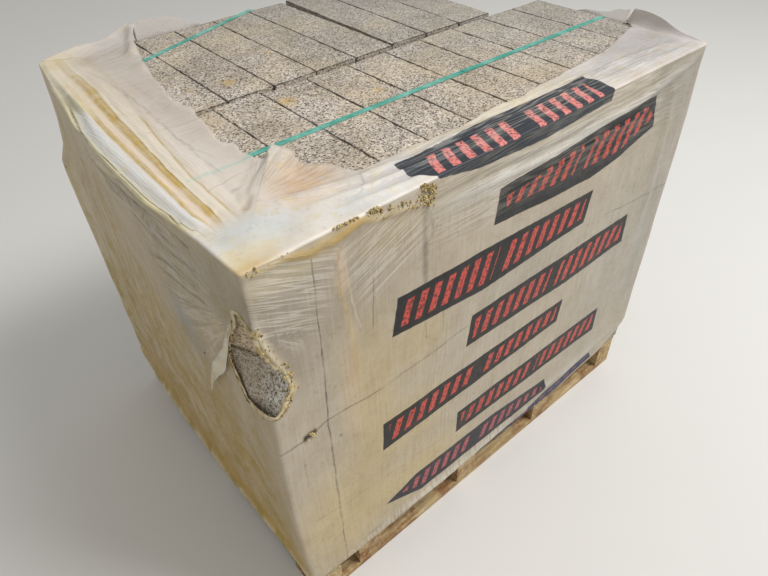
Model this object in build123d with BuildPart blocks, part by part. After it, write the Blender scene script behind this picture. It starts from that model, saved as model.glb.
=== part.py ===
from build123d import *
from math import cos, radians, sin
import os

# Pallet of solid concrete blocks under a torn film hood, in millimetres.
# The origin is on the ground below the middle of the whole object. X runs along the printed
# front, Y runs from the front to the back, Z is up.

# Blocks, standing on their bed faces with their length from front to back
block_length = 440.0
block_width = 100.0
block_height = 215.0
block_arris = 1.2
courses = 4
columns = 11
block_joint = 0.6
row_gap = 12.0

# Top course: how far each front block is pushed back, and the short, shifted back row
front_setbacks = (0.0, 1.0, 9.0, 0.0, 1.5, 0.5, 2.0, 5.0, 4.0, 2.0, 0.0)
back_setbacks = (4.0, 4.0, 6.0, 5.0, 7.0, 6.0)
back_row_shift = 38.0
turned_blocks = 3
turned_setback = 14.0
turned_gap = 4.0
turn_angle = 1.5

# Broken near corner, across the bed joint between the two upper courses
chip_above = 130.0
chip_below = 78.0
chip_along_front = 34.0
chip_along_side = 58.0

# Pallet
deck_thickness = 18.0
deck_board_width = 100.0
deck_board_count = 7
deck_inset = 3.0
bearer_width = 64.0
bearer_height = 75.0
bearer_gaps = (52.0, 255.0, 233.0)
bearer_inset = 5.0
bottom_thickness = 18.0
bottom_board_width = 100.0
bottom_board_count = 3
board_edge = 1.5

# Straps
strap_width = 13.0
strap_thickness = 0.8
strap_corner = 3.0
strap_clearance = 0.3
strap_gap_index = 2
weld_length = 34.0
weld_place = 660.0
loose_start = (100.0, 721.0)
loose_turn = 22.0
loose_gap = 4.0
loose_bend = 46.0
loose_drop = 240.0

# Film hood
film_thickness = 0.8
film_over_strap = 0.3
hem_drop = 9.0
beyond = 40.0
front_margin = 95.0

# Torn edges of the film. On the top sheet: the part of the front tear that climbs away from the
# margin near the right end, from that end and past the margin, then the side tear, from the
# near corner. On the walls: along the wall and above or below the top of the stack. At the broken
# corner: across the corner and above or below the bed joint.
tear_front = ((40, 95), (-190, 38), (-350, 8))
tear_side = ((236, 98), (224, 148), (206, 176), (198, 232), (163, 236), (156, 345), (168, 490), (205, 737))
tear_back_left = 262.0
back_tear = ((262, 6), (330, -24), (560, -40), (900, -62), (1010, -150), (1140, -188))
side_tear = ((184, 6), (330, -8), (470, -30), (640, -140), (960, -188))
corner_hole = ((-68, 65), (-30, 131), (4, 145), (27, 65), (31, -10), (16, -57), (-34, -85), (-58, -20))

# Worked out from the sizes above
stack_width = columns * block_width + (columns - 1) * block_joint
stack_depth = 2 * block_length + row_gap
pallet_height = bottom_thickness + bearer_height + deck_thickness
stack_top = pallet_height + courses * block_height
film_clearance = strap_clearance + strap_thickness + film_over_strap
film_back_clearance = max(*back_setbacks, turned_setback) + film_clearance
loose_across = Vector(cos(radians(loose_turn)), sin(radians(loose_turn)), 0)
loose_half_width = strap_width / 2 * loose_across.X
loose_reach = film_back_clearance + film_thickness + loose_gap + loose_half_width
box_back = loose_reach + loose_half_width + strap_thickness / 2 * loose_across.Y
box_front = film_clearance + film_thickness
left = -stack_width / 2
front = -(stack_depth + box_back - box_front) / 2
middle = front + stack_depth / 2
back = front + stack_depth
bearer_top = bottom_thickness + bearer_height
top_course = courses - 1

os.makedirs("parts", exist_ok=True)


def save(piece, name):
    """Labels a finished piece and writes it under the same name."""
    piece.part.label = name
    export_step(piece.part, f"parts/{name}.step")


def course_bottom(course):
    """Height of the underside of a course, counted from 0 at the bottom."""
    return pallet_height + course * block_height


def column_centre(column):
    """X of the middle of a block in the regular grid of columns."""
    return left + block_width / 2 + column * (block_width + block_joint)


def blocks_at(places, course):
    """Blocks of one course at the given centres, each with its small pressed arrises."""
    with BuildPart() as blocks:
        with BuildSketch(Plane.XY.offset(course_bottom(course))):
            with Locations(*places):
                Rectangle(block_width, block_length)
        extrude(amount=block_height)
        chamfer(blocks.edges(), block_arris)
    return blocks


# Front row of each course. The near corner blocks of the two upper ones are pieces of their own.
front_row_y = front + block_length / 2
back_row_y = back - block_length / 2

for course in range(courses):
    row = []
    for column in range(columns):
        setback = front_setbacks[column % len(front_setbacks)] if course == top_course else 0.0
        if column > 0 or course < top_course - 1:
            row.append(Location((column_centre(column), front_row_y + setback)))
    save(blocks_at(row, course), f"course_{course + 1}_front")

# Back row of each course. In the top one it is two blocks short, shifted, and partly turned.
for course in range(top_course):
    row = [Location((column_centre(column), back_row_y)) for column in range(columns)]
    save(blocks_at(row, course), f"course_{course + 1}_back")

straight_end = back_row_shift + len(back_setbacks) * (block_width + block_joint)
row = [
    Location((column_centre(column) + back_row_shift, back_row_y + setback))
    for column, setback in enumerate(back_setbacks)
]
pivot = Location(
    (left + straight_end + turned_gap, back - block_length + turned_setback),
    -turn_angle,
)
for turned in range(turned_blocks):
    across = block_width / 2 + turned * (block_width + block_joint)
    row.append(pivot * Location((across, block_length / 2)))
save(blocks_at(row, top_course), f"course_{courses}_back")

# Corner blocks of the two upper courses, broken where they meet
bed_joint = course_bottom(top_course)
near_corner = Vector(left, front, bed_joint)
chips = (
    (top_course, chip_above, 0.62, 0.8),
    (top_course - 1, -chip_below, 0.7, 0.55),
)
for course, reach, narrow, shallow in chips:
    along_front = near_corner + Vector(chip_along_front, 0, 0)
    along_side = near_corner + Vector(0, chip_along_side, 0)
    halfway = Vector(0, 0, reach * narrow)
    tip = near_corner + Vector(0, 0, reach)
    shoulder = (
        near_corner + halfway + Vector(chip_along_front * shallow, 0, 0),
        near_corner + halfway + Vector(0, chip_along_side * shallow, 0),
    )
    whole = blocks_at([Location((column_centre(0), front_row_y))], course)
    with BuildPart() as corner:
        add(whole.part)
        for outer in ((along_front, along_side, shoulder[0]), (shoulder[0], shoulder[1], tip)):
            face_x = outer[1] - outer[0]
            normal = face_x.cross(outer[2] - outer[0]).normalized()
            inward = Vector(1, 1, 0).dot(normal) > 0
            split(
                bisect_by=Plane(origin=outer[0], x_dir=face_x, z_dir=normal),
                keep=Keep.TOP if inward else Keep.BOTTOM,
            )
    save(corner, f"course_{course + 1}_corner_block")

# Pallet: deck boards and bottom boards along the front, bearers from front to back
deck_length = stack_width - 2 * deck_inset
deck_depth = stack_depth - 2 * deck_inset
deck_pitch = (deck_depth - deck_board_width) / (deck_board_count - 1)
for index in range(deck_board_count):
    board_y = middle - deck_depth / 2 + deck_board_width / 2 + index * deck_pitch
    with BuildPart() as deck_board:
        with BuildSketch(Plane.XY.offset(bearer_top)):
            with Locations((0, board_y)):
                Rectangle(deck_length, deck_board_width)
        extrude(amount=deck_thickness)
        chamfer(deck_board.edges().filter_by(Axis.X), board_edge)
    save(deck_board, f"deck_board_{index + 1}")

bearer_centres = [left + bearer_inset + bearer_width / 2]
for gap in bearer_gaps:
    bearer_centres.append(bearer_centres[-1] + bearer_width + gap)
bearer_centres.append(-left - bearer_inset - bearer_width / 2)
for index, bearer_x in enumerate(bearer_centres):
    with BuildPart() as bearer:
        with BuildSketch(Plane.XY.offset(bottom_thickness)):
            with Locations((bearer_x, middle)):
                Rectangle(bearer_width, deck_depth)
        extrude(amount=bearer_height)
        chamfer(bearer.edges().filter_by(Axis.Y), board_edge)
    save(bearer, f"bearer_{index + 1}")

bottom_pitch = (deck_depth - bottom_board_width) / (bottom_board_count - 1)
for index in range(bottom_board_count):
    board_y = middle - deck_depth / 2 + bottom_board_width / 2 + index * bottom_pitch
    with BuildPart() as bottom_board:
        with BuildSketch():
            with Locations((0, board_y)):
                Rectangle(deck_length, bottom_board_width)
        extrude(amount=bottom_thickness)
        chamfer(bottom_board.edges().filter_by(Axis.X), board_edge)
    save(bottom_board, f"bottom_board_{index + 1}")

# Tight strap: a closed band over the front row that passes below the blocks between two deck boards
deck_gap = deck_pitch - deck_board_width
strap_y = middle - deck_depth / 2 + strap_gap_index * deck_pitch - deck_gap / 2
inner_width = stack_width + 2 * strap_clearance
inner_height = stack_top - bearer_top - strap_thickness
ring_centre = (0, bearer_top + strap_clearance + strap_thickness + inner_height / 2)
with BuildPart() as tight_strap:
    with BuildSketch(Plane.XZ.offset(-strap_y)):
        with Locations(ring_centre):
            RectangleRounded(
                inner_width + 2 * strap_thickness,
                inner_height + 2 * strap_thickness,
                strap_corner,
            )
            RectangleRounded(
                inner_width, inner_height, strap_corner - strap_thickness, mode=Mode.SUBTRACT
            )
        with Locations((left + weld_place, stack_top + strap_clearance + 1.5 * strap_thickness)):
            Rectangle(weld_length, strap_thickness)
    extrude(amount=strap_width / 2, both=True)
save(tight_strap, "strap_tight")

# Loose strap: it lies across the back row, springs out over the back edge and hangs down
loose_origin = Vector(
    left + loose_start[0],
    front + loose_start[1],
    stack_top + strap_clearance + strap_thickness / 2,
)
loose_end = loose_origin + loose_across * ((back + loose_reach - loose_origin.Y) / loose_across.Y)
with BuildPart() as loose_strap:
    with BuildLine():
        route = FilletPolyline(
            loose_origin,
            loose_end,
            loose_end - Vector(0, 0, loose_drop),
            radius=loose_bend,
        )
    with BuildSketch(Plane(origin=route @ 0, x_dir=Vector(0, 0, 1), z_dir=route % 0)):
        Rectangle(strap_thickness, strap_width)
    sweep()
save(loose_strap, "strap_loose")

# Film hood: four walls and a torn top sheet, with a hole at the broken corner
hood_width = stack_width + 2 * film_clearance
hood_depth = stack_depth + film_clearance + film_back_clearance
hood_y = middle + (film_back_clearance - film_clearance) / 2
hem = pallet_height - hem_drop
hood_top = stack_top + film_clearance
inside_back = back + film_back_clearance
tear_outline = [
    *[(-left + from_end, front + front_margin + climb) for from_end, climb in tear_front],
    *[(left + across, front + inward) for across, inward in tear_side],
    (left + tear_back_left, inside_back + beyond),
    (-left + tear_front[0][0], inside_back + beyond),
]
with BuildPart() as film_hood:
    with BuildSketch(Plane.XY.offset(hem)):
        with Locations((0, hood_y)):
            Rectangle(hood_width + 2 * film_thickness, hood_depth + 2 * film_thickness)
    extrude(amount=hood_top + film_thickness - hem)
    with BuildSketch(Plane.XY.offset(hem)):
        with Locations((0, hood_y)):
            Rectangle(hood_width, hood_depth)
    extrude(amount=hood_top - hem, mode=Mode.SUBTRACT)
    with BuildSketch(Plane.XY.offset(hood_top)):
        Polygon(*tear_outline, align=None)
    extrude(amount=beyond, mode=Mode.SUBTRACT)
    with BuildSketch(Plane.XZ.offset(-inside_back)):
        Polygon(
            *[(left + along, stack_top + rise) for along, rise in back_tear],
            (left + back_tear[-1][0], stack_top + beyond),
            (left + back_tear[0][0], stack_top + beyond),
            align=None,
        )
    extrude(amount=beyond / 2, both=True, mode=Mode.SUBTRACT)
    with BuildSketch(Plane.YZ.offset(-left + film_clearance)):
        Polygon(
            *[(front + along, stack_top + rise) for along, rise in side_tear],
            (front + side_tear[-1][0], stack_top + beyond),
            (front + side_tear[0][0], stack_top + beyond),
            align=None,
        )
    extrude(amount=beyond / 2, both=True, mode=Mode.SUBTRACT)
    corner_plane = Plane(origin=near_corner, x_dir=(1, -1, 0), z_dir=(-1, -1, 0))
    with BuildSketch(corner_plane):
        Polygon(*corner_hole, align=None)
    extrude(amount=chip_along_side + beyond, both=True, mode=Mode.SUBTRACT)
save(film_hood, "film_hood")
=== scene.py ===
"""Looks of a pallet of solid concrete blocks under a torn, printed film hood.

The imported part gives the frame. Lengths here are millimetres in the pack's own coordinates: u runs along
the printed front from the near left corner, v runs from the front to the back, and drop is counted
downwards from the top of the blocks. A mesh is turned to metres when it is made. A path or outline is
one row of numbers, the two coordinates of its points in turn.
"""

import logging
from collections.abc import Callable
from dataclasses import dataclass
from enum import Enum
from functools import partial, reduce
from itertools import product
from math import cos, pi, radians, sin

import bpy
import numpy as np
from mathutils import Matrix, Vector


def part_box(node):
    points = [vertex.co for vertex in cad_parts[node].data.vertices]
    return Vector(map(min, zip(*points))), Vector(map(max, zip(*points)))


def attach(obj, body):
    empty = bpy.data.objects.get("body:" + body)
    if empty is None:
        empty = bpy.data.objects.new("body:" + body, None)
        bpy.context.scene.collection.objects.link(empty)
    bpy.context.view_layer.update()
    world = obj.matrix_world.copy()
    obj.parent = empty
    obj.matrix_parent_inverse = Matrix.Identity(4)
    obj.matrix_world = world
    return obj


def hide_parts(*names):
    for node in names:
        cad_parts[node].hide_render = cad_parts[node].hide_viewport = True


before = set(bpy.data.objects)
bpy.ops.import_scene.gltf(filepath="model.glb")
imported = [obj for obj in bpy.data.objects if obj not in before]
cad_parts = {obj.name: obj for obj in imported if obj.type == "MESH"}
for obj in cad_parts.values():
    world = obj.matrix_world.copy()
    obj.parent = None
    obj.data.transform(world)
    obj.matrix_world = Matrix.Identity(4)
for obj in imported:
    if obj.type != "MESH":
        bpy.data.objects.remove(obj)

log = logging.getLogger("pallet_of_blocks")
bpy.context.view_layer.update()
MM = 0.001
PER_MM = 1000.0
RGBA = {"data_type": "RGBA"}

Socket = bpy.types.NodeSocket
Material = bpy.types.Material
Array = np.ndarray
Surface = tuple[Array, Array, Array]
Table = tuple[tuple[float, ...], ...]
Value = Socket | float | tuple | str
Stops = tuple[tuple[float, str], ...]


class Face(Enum):
    """The side of the hood that a fold, stain or wrinkle lies on."""

    TOP = "top"
    FRONT = "front"
    RIGHT = "right"
    BACK = "back"
    LEFT = "left"


@dataclass(frozen=True)
class Pack:
    """Places of the stack in millimetres, worked out from the frame."""

    left: float
    right: float
    front: float
    back: float
    top: float
    bed: float
    hem: float

    @classmethod
    def from_frame(cls) -> "Pack":
        """Reads the places from the corners of the CAD nodes.

        Returns:
            The pack's places.
        """
        low, high = (np.array(corner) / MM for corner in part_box("course_1_front"))
        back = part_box("course_1_back")[1].y / MM
        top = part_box("course_4_front")[1].z / MM
        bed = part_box("course_4_corner_block")[0].z / MM
        return cls(low[0], high[0], low[1], back, top, bed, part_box("film_hood")[0].z / MM)

    @property
    def width(self) -> float:
        """Length of the front."""
        return self.right - self.left

    @property
    def depth(self) -> float:
        """Distance from the front of the stack to its back."""
        return self.back - self.front

    def place(self, u: Array, v: Array, drop: Array) -> Array:
        """Points in the frame, in millimetres, for pack coordinates."""
        u, v, drop = np.broadcast_arrays(u, v, drop)
        return np.stack([self.left + u, self.front + v, self.top - drop], axis=-1).astype(float)


def linear(colour: str) -> tuple[float, float, float, float]:
    """Turns an sRGB hex colour to the linear values that Blender's sockets take.

    Args:
        colour: Six hex digits with a leading hash.

    Returns:
        Red, green, blue and a full alpha.
    """
    parts = [int(colour[i:i + 2], 16) / 255 for i in (1, 3, 5)]
    return (*(c / 12.92 if c <= 0.04045 else ((c + 0.055) / 1.055) ** 2.4 for c in parts), 1.0)


def add_node(tree: bpy.types.NodeTree, kind: str, *inputs: Value, out: int | str = 0,
             stops: Stops = (), **settings: Value) -> Socket | None:
    """Adds a node with its settings and links.

    Args:
        tree: The node tree to add to.
        kind: The node's type without its ShaderNode prefix, and its operation after a space.
        inputs: What goes to its inputs in order: a value, a hex colour or the output socket that feeds it.
        out: Number or name of the output to return.
        stops: Places and hex colours of a colour ramp.
        settings: The node's own properties, and inputs by their name, which starts with a capital.

    Returns:
        The output socket, or None if the node has none.
    """
    kind, _, operation = kind.partition(" ")
    node = tree.nodes.new("ShaderNode" + kind)
    named = {name.replace("_", " "): value for name, value in settings.items() if name[0].isupper()}
    own = {name: value for name, value in settings.items() if name[0].islower()}
    for name, value in (own | {"operation": operation} if operation else own).items():
        setattr(node, name, value)
    fed = zip([socket for socket in node.inputs if socket.enabled], inputs)
    for socket, value in [*fed, *((node.inputs[name], value) for name, value in named.items())]:
        if isinstance(value, Socket):
            tree.links.new(value, socket)
        else:
            socket.default_value = linear(value) if isinstance(value, str) else value
    if stops:
        elements = node.color_ramp.elements
        while len(elements) < len(stops):
            elements.new(0.5)
        for element, (place, colour) in zip(elements, stops):
            element.position = place
            element.color = linear(colour)
    outputs = enumerate(socket for socket in node.outputs if socket.enabled)
    return next((socket for number, socket in outputs if out in (number, socket.name)), None)


def new_material(name: str) -> tuple[Material, Callable[..., Socket], Socket]:
    """Makes an empty node material.

    Args:
        name: What the real material is, with its process.

    Returns:
        The material, add_node on its tree, and the Object coordinates.
    """
    material = bpy.data.materials.new(name)
    material.use_nodes = True
    material.node_tree.nodes.clear()
    add = partial(add_node, material.node_tree)
    return material, add, add("TexCoord", out="Object")


@dataclass(frozen=True)
class PressedConcrete:
    """Dense concrete pressed dry in a steel mould: open pores and sand-coloured to grey aggregate.

    The eye sees a salt-and-pepper speckle, small pores painted dark as the shade inside them, crumbled
    arrises darkened both by their crumbling and as painted shade in the joints, yellow splashes and slow
    changes of grey from block to block; the blocks further back turn greyer. The grit is a little coarser
    than the real one, so that it shows.

    Attributes:
        stains: Places of the yellow splashes in the frame, and their reach.
    """

    stains: tuple[tuple[Array, float], ...] = ()
    name: str = "dry pressed dense concrete"
    grit_mm: float = 2.8
    pore_mm: float = 7.0
    patch_mm: float = 85.0
    light: str = "#e9ddd0"
    middle: str = "#c8bdb0"
    grey: str = "#a2988d"
    dark: str = "#665d54"
    dust: str = "#d6c096"
    rear_grey: str = "#8b8a86"
    arris_shade: str = "#34302a"
    pore_depth_mm: float = 2.0

    def make(self) -> Material:
        """Builds the material on Object coordinates and the blocks' own attribute for their arrises.

        Returns:
            The material.
        """
        material, add, place = new_material(self.name)
        pick = add("SeparateColor", add("TexVoronoi", place, PER_MM / self.grit_mm, out="Color"))
        sand = add("TexNoise", place, PER_MM / self.grit_mm, 5.0, 0.75)
        value = add("Math ADD", add("Math MULTIPLY", pick, 0.55), add("Math MULTIPLY", sand, 0.45))
        greys = (self.dark, self.grey, self.middle, self.middle, self.light)
        base = add("ValToRGB", value, stops=tuple(zip((0.22, 0.36, 0.48, 0.60, 0.76), greys)))
        slow = add("MapRange", add("TexNoise", place, PER_MM / self.patch_mm, 3.0, 0.6), 0.35, 0.7, 0.0, 0.6)
        toned = add("Mix", slow, base, "#bdb7aa", blend_type="MULTIPLY", **RGBA)
        warm = add("MapRange", add("TexNoise", place, PER_MM / 190, 3.0, 0.7), 0.45, 0.72, 0.0, 0.42)
        colour = add("Mix", warm, toned, self.dust, **RGBA)
        for middle, reach in self.stains:
            far = add("VectorMath DISTANCE", place, tuple(middle * MM))
            fray = add("Math MULTIPLY", add("TexNoise", place, PER_MM / 22, 4.0, 0.7), 0.06)
            near = add("MapRange", add("Math ADD", far, fray), 0.026, 0.026 + reach * MM, 0.62, 0.0)
            colour = add("Mix", near, colour, "#c9a44e", **RGBA)
        # Pores painted dark, as the shade inside them
        hole = add("MapRange", add("TexVoronoi", place, PER_MM / self.pore_mm), 0.12, 0.3, 0.85, 0.0)
        colour = add("Mix", hole, colour, "#3d3933", **RGBA)
        # Greyer towards the back of the stack
        away = add("VectorMath DOT_PRODUCT", place, (0.8, 0.6, 0.0))
        colour = add("Mix", add("MapRange", away, -0.15, 0.50, 0.0, 0.68), colour, self.rear_grey, **RGBA)
        # The arrises darken where they crumble, and as painted shade in the joints between the blocks
        edge = add("Attribute", attribute_name="arris", out="Fac")
        fray = add("Math MULTIPLY", add("Math SUBTRACT", sand, 0.5), 0.9)
        worn = add("MapRange", add("Math ADD", edge, fray), 0.62, 1.0, 0.0, 0.85)
        colour = add("Mix", worn, colour, self.arris_shade, **RGBA)
        relief = add("Math SUBTRACT", add("Math MULTIPLY", value, 1.1), hole)
        bump = add("Bump", Strength=1.0, Distance=self.pore_depth_mm * MM, Height=relief)
        shader = add("BsdfPrincipled", colour, Roughness=0.94, Specular_IOR_Level=0.25, Normal=bump)
        add("OutputMaterial", shader)
        return material


@dataclass(frozen=True)
class BrokenConcrete:
    """The inside of a block, broken open: coarse angular aggregate in a matrix with deep pits.

    Attributes:
        browned: Where the fracture turns brown, along the frame's Y in metres, and how much.
    """

    name: str = "fractured dense concrete"
    stone_mm: float = 4.5
    grit_mm: float = 2.6
    light: str = "#ffefd4"
    middle: str = "#d8c4a6"
    dark: str = "#75654b"
    browned: tuple[float, float, float] = (-0.44, -0.40, 0.6)

    def make(self) -> Material:
        """Builds the material on Object coordinates.

        Returns:
            The material.
        """
        material, add, place = new_material(self.name)
        grit = add("TexNoise", place, PER_MM / self.grit_mm, 5.0, 0.75)
        stones = add("TexVoronoi", place, PER_MM / self.stone_mm)
        pick = add("SeparateColor", stones.node.outputs["Color"])
        value = add("Math ADD", add("Math MULTIPLY", grit, 0.6), add("Math MULTIPLY", pick, 0.4))
        colour = add("ValToRGB", value, stops=((0.28, self.dark), (0.43, self.middle), (0.60, self.light)))
        # Pits painted dark, as the shade inside them
        pit = add("MapRange", add("TexNoise", place, PER_MM / 4, 3.0, 0.7), 0.34, 0.42, 0.5, 0.0)
        colour = add("Mix", pit, colour, self.dark, **RGBA)
        first, full, share = self.browned
        rear = add("MapRange", add("SeparateXYZ", place, out="Y"), first, full, 0.0, share)
        colour = add("Mix", rear, colour, add("Mix", 0.55, colour, "#a8906f", **RGBA), **RGBA)
        relief = add("Math ADD", add("MapRange", stones, 0.0, 0.7, 1.0, 0.0), grit)
        bump = add("Bump", Strength=1.0, Distance=0.002, Height=add("Math SUBTRACT", relief, pit))
        shader = add("BsdfPrincipled", colour, Roughness=0.95, Specular_IOR_Level=0.25, Normal=bump)
        add("OutputMaterial", shader)
        return material


@dataclass(frozen=True)
class SawnPine:
    """Rough-sawn softwood: pale, with brown grain lines, saw fur and wet stains along its length."""

    name: str
    along: tuple[float, float, float]
    ring_mm: float = 9.0
    light: str = "#d2bd92"
    middle: str = "#ae9468"
    dark: str = "#7b623e"
    stain: float = 0.75

    def make(self) -> Material:
        """Builds the material on Object coordinates, stretched along the board.

        Returns:
            The material.
        """
        material, add, place = new_material(self.name)
        grain_place = add("Mapping", place, Scale=self.along)
        grain = add("TexNoise", grain_place, PER_MM / self.ring_mm, 5.0, 0.62)
        fur = add("TexNoise", grain_place, PER_MM / 1.6, 2.0, 0.5)
        lines = add("Math ADD", add("Math MULTIPLY", grain, 0.75), add("Math MULTIPLY", fur, 0.25))
        base = add("ValToRGB", lines, stops=((0.32, self.dark), (0.47, self.middle), (0.62, self.light)))
        wet = add("MapRange", add("TexNoise", place, PER_MM / 70, 4.0, 0.65), 0.48, 0.62, 0.0, self.stain)
        colour = add("Mix", wet, base, "#b0793a", blend_type="MULTIPLY", **RGBA)
        grime = add("MapRange", add("TexNoise", place, PER_MM / 24, 3.0, 0.6), 0.55, 0.75, 0.0, 0.5)
        colour = add("Mix", grime, colour, "#8b8273", **RGBA)
        bump = add("Bump", Strength=0.6, Distance=0.0012, Height=lines)
        add("OutputMaterial", add("BsdfPrincipled", colour, Roughness=0.8, Normal=bump))
        return material


@dataclass(frozen=True)
class PolyesterStrap:
    """Extruded turquoise polyester strapping: satin, with a fine embossed waffle and dusty streaks."""

    name: str = "embossed turquoise polyester"
    colour: str = "#36907f"
    worn: str = "#8fc9bc"
    waffle_mm: float = 3.0

    def make(self) -> Material:
        """Builds the material on Object coordinates.

        Returns:
            The material.
        """
        material, add, place = new_material(self.name)
        streak = add("MapRange", add("TexNoise", place, PER_MM / 40, 4.0, 0.7), 0.42, 0.66)
        dust = add("TexNoise", place, PER_MM / 4, 3.0, 0.6)
        worn = add("Math MULTIPLY", streak, add("MapRange", dust, 0.3, 0.7, 0.3, 0.9))
        colour = add("Mix", worn, self.colour, self.worn, **RGBA)
        waves = add("TexWave", place, PER_MM / (self.waffle_mm * pi), out="Fac")
        bump = add("Bump", Strength=0.4, Distance=0.0004, Height=waves)
        rough = add("MapRange", dust, 0.3, 0.7, 0.3, 0.5)
        add("OutputMaterial", add("BsdfPrincipled", colour, Roughness=rough, Normal=bump))
        return material


@dataclass(frozen=True)
class StageFloor:
    """Plain matt floor that is pale to the camera and keeps the object's shadow."""

    name: str = "plain pale floor"
    colour: str = "#dddbd7"

    def make(self) -> Material:
        """Builds the floor's matt material.

        Returns:
            The material.
        """
        material, add, place = new_material(self.name)
        soft = add("MapRange", add("TexNoise", place, PER_MM / 300), 0.3, 0.7, 0.0, 0.06)
        colour = add("Mix", soft, self.colour, "#cfccc6", **RGBA)
        add("OutputMaterial", add("BsdfPrincipled", colour, Roughness=0.95))
        return material


def lattice_noise(points: Array, pitch: float, seed: int) -> Array:
    """Smooth random values from -1 to 1.

    Formula: random values stand on a cubic lattice of the given pitch, and a point takes the mix of the
    eight corners of its cell, weighted by the smooth step of its place in the cell.

    Args:
        points: Array of points, three coordinates last.
        pitch: Distance between lattice values, in the points' unit.
        seed: Seed of the random values.

    Returns:
        One value for each point.
    """
    size = 32
    values = np.random.default_rng(seed).uniform(-1, 1, (size, size, size))
    cell = np.floor(points / pitch).astype(int)
    part = points / pitch - cell
    weight = part * part * (3 - 2 * part)
    total = np.zeros(points.shape[:-1])
    for corner in product((0, 1), repeat=3):
        index = (cell + np.array(corner)) % size
        share = np.prod(np.where(np.array(corner) == 1, weight, 1 - weight), axis=-1)
        total += share * values[index[..., 0], index[..., 1], index[..., 2]]
    return total


def looked_up(at: Array | float, table: Table) -> Array:
    """Values of a table of two columns at the given places, in straight shares between its rows."""
    return np.interp(at, *np.array(table, float).T)


def along_outline(outline: tuple[float, ...], closed: bool = False) -> tuple[Array, Array]:
    """Corner points of a path and how far along it each lies.

    Args:
        outline: The coordinates of the points in turn.
        closed: Whether it runs back to its first point.

    Returns:
        The points, and their distance from the first one along the path.
    """
    nodes = np.array(outline, float).reshape(-1, 2)
    nodes = np.concatenate([nodes, nodes[:1]]) if closed else nodes
    return nodes, np.concatenate([[0.0], np.cumsum(np.linalg.norm(np.diff(nodes, axis=0), axis=1))])


def unit(vectors: Array, least: float = 0.0) -> Array:
    """Vectors brought to length one, or to less if they are shorter than the least."""
    return vectors / np.maximum(np.linalg.norm(vectors, axis=-1, keepdims=True), least)


def grid_faces(columns: int, rows: int, closed: bool = False) -> Array:
    """Quads of a grid whose points are numbered row after row along its columns.

    Args:
        columns: Number of points along the first parameter.
        rows: Number of points along the second parameter.
        closed: Whether the last column joins the first.

    Returns:
        Array of four point numbers for each quad.
    """
    i, j = np.meshgrid(np.arange(columns if closed else columns - 1), np.arange(rows - 1), indexing="ij")
    right = (i + 1) % columns
    quads = [i * rows + j, right * rows + j, right * rows + j + 1, i * rows + j + 1]
    return np.stack(quads, axis=-1).reshape(-1, 4)


def make_piece(name: str, points: Array, faces: Array, materials: list[Material], slot: str,
               replaces: tuple[str, ...] = (), **layers: Array) -> bpy.types.Object:
    """Makes one object of the scene from points in millimetres and ties it to the frame.

    Args:
        name: The piece's name.
        points: Points in the frame, in millimetres.
        faces: Quads as point numbers.
        materials: Materials in slot order.
        slot: The record's material slot, which is not used.
        replaces: CAD nodes that the piece stands for.
        layers: Numbers, vectors or colours of the points that its material reads.

    Returns:
        The new object.
    """
    mesh = bpy.data.meshes.new(name)
    mesh.from_pydata((points * MM).tolist(), [], faces.tolist())
    mesh.update()
    for material in materials:
        mesh.materials.append(material)
    mesh.polygons.foreach_set("use_smooth", np.ones(len(mesh.polygons), bool))
    piece = bpy.data.objects.new(name, mesh)
    bpy.context.scene.collection.objects.link(piece)
    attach(piece, "root")
    if replaces:
        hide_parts(*replaces)
    kinds = {1: ("FLOAT", "value"), 3: ("FLOAT_VECTOR", "vector"), 4: ("FLOAT_COLOR", "color")}
    for layer, values in layers.items():
        kind, key = kinds[values.size // len(points)]
        mesh.attributes.new(layer, kind, "POINT").data.foreach_set(key, values.astype(np.float32).ravel())
    log.info("%s: %d points, %d faces", name, len(points), len(faces))
    return piece


def graded(stops: Table, end: float) -> Array:
    """Places from stop to stop at each stop's own spacing.

    Args:
        stops: Start of each stretch and its spacing.
        end: The last place.

    Returns:
        Rising places, the first stop and the end among them.
    """
    starts = [first for first, _ in stops] + [end]
    runs = [np.linspace(a, b, max(2, round(abs(b - a) / pitch) + 1))[:-1]
            for a, b, (_, pitch) in zip(starts, starts[1:], stops)]
    return np.concatenate([*runs, [end]])


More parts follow.
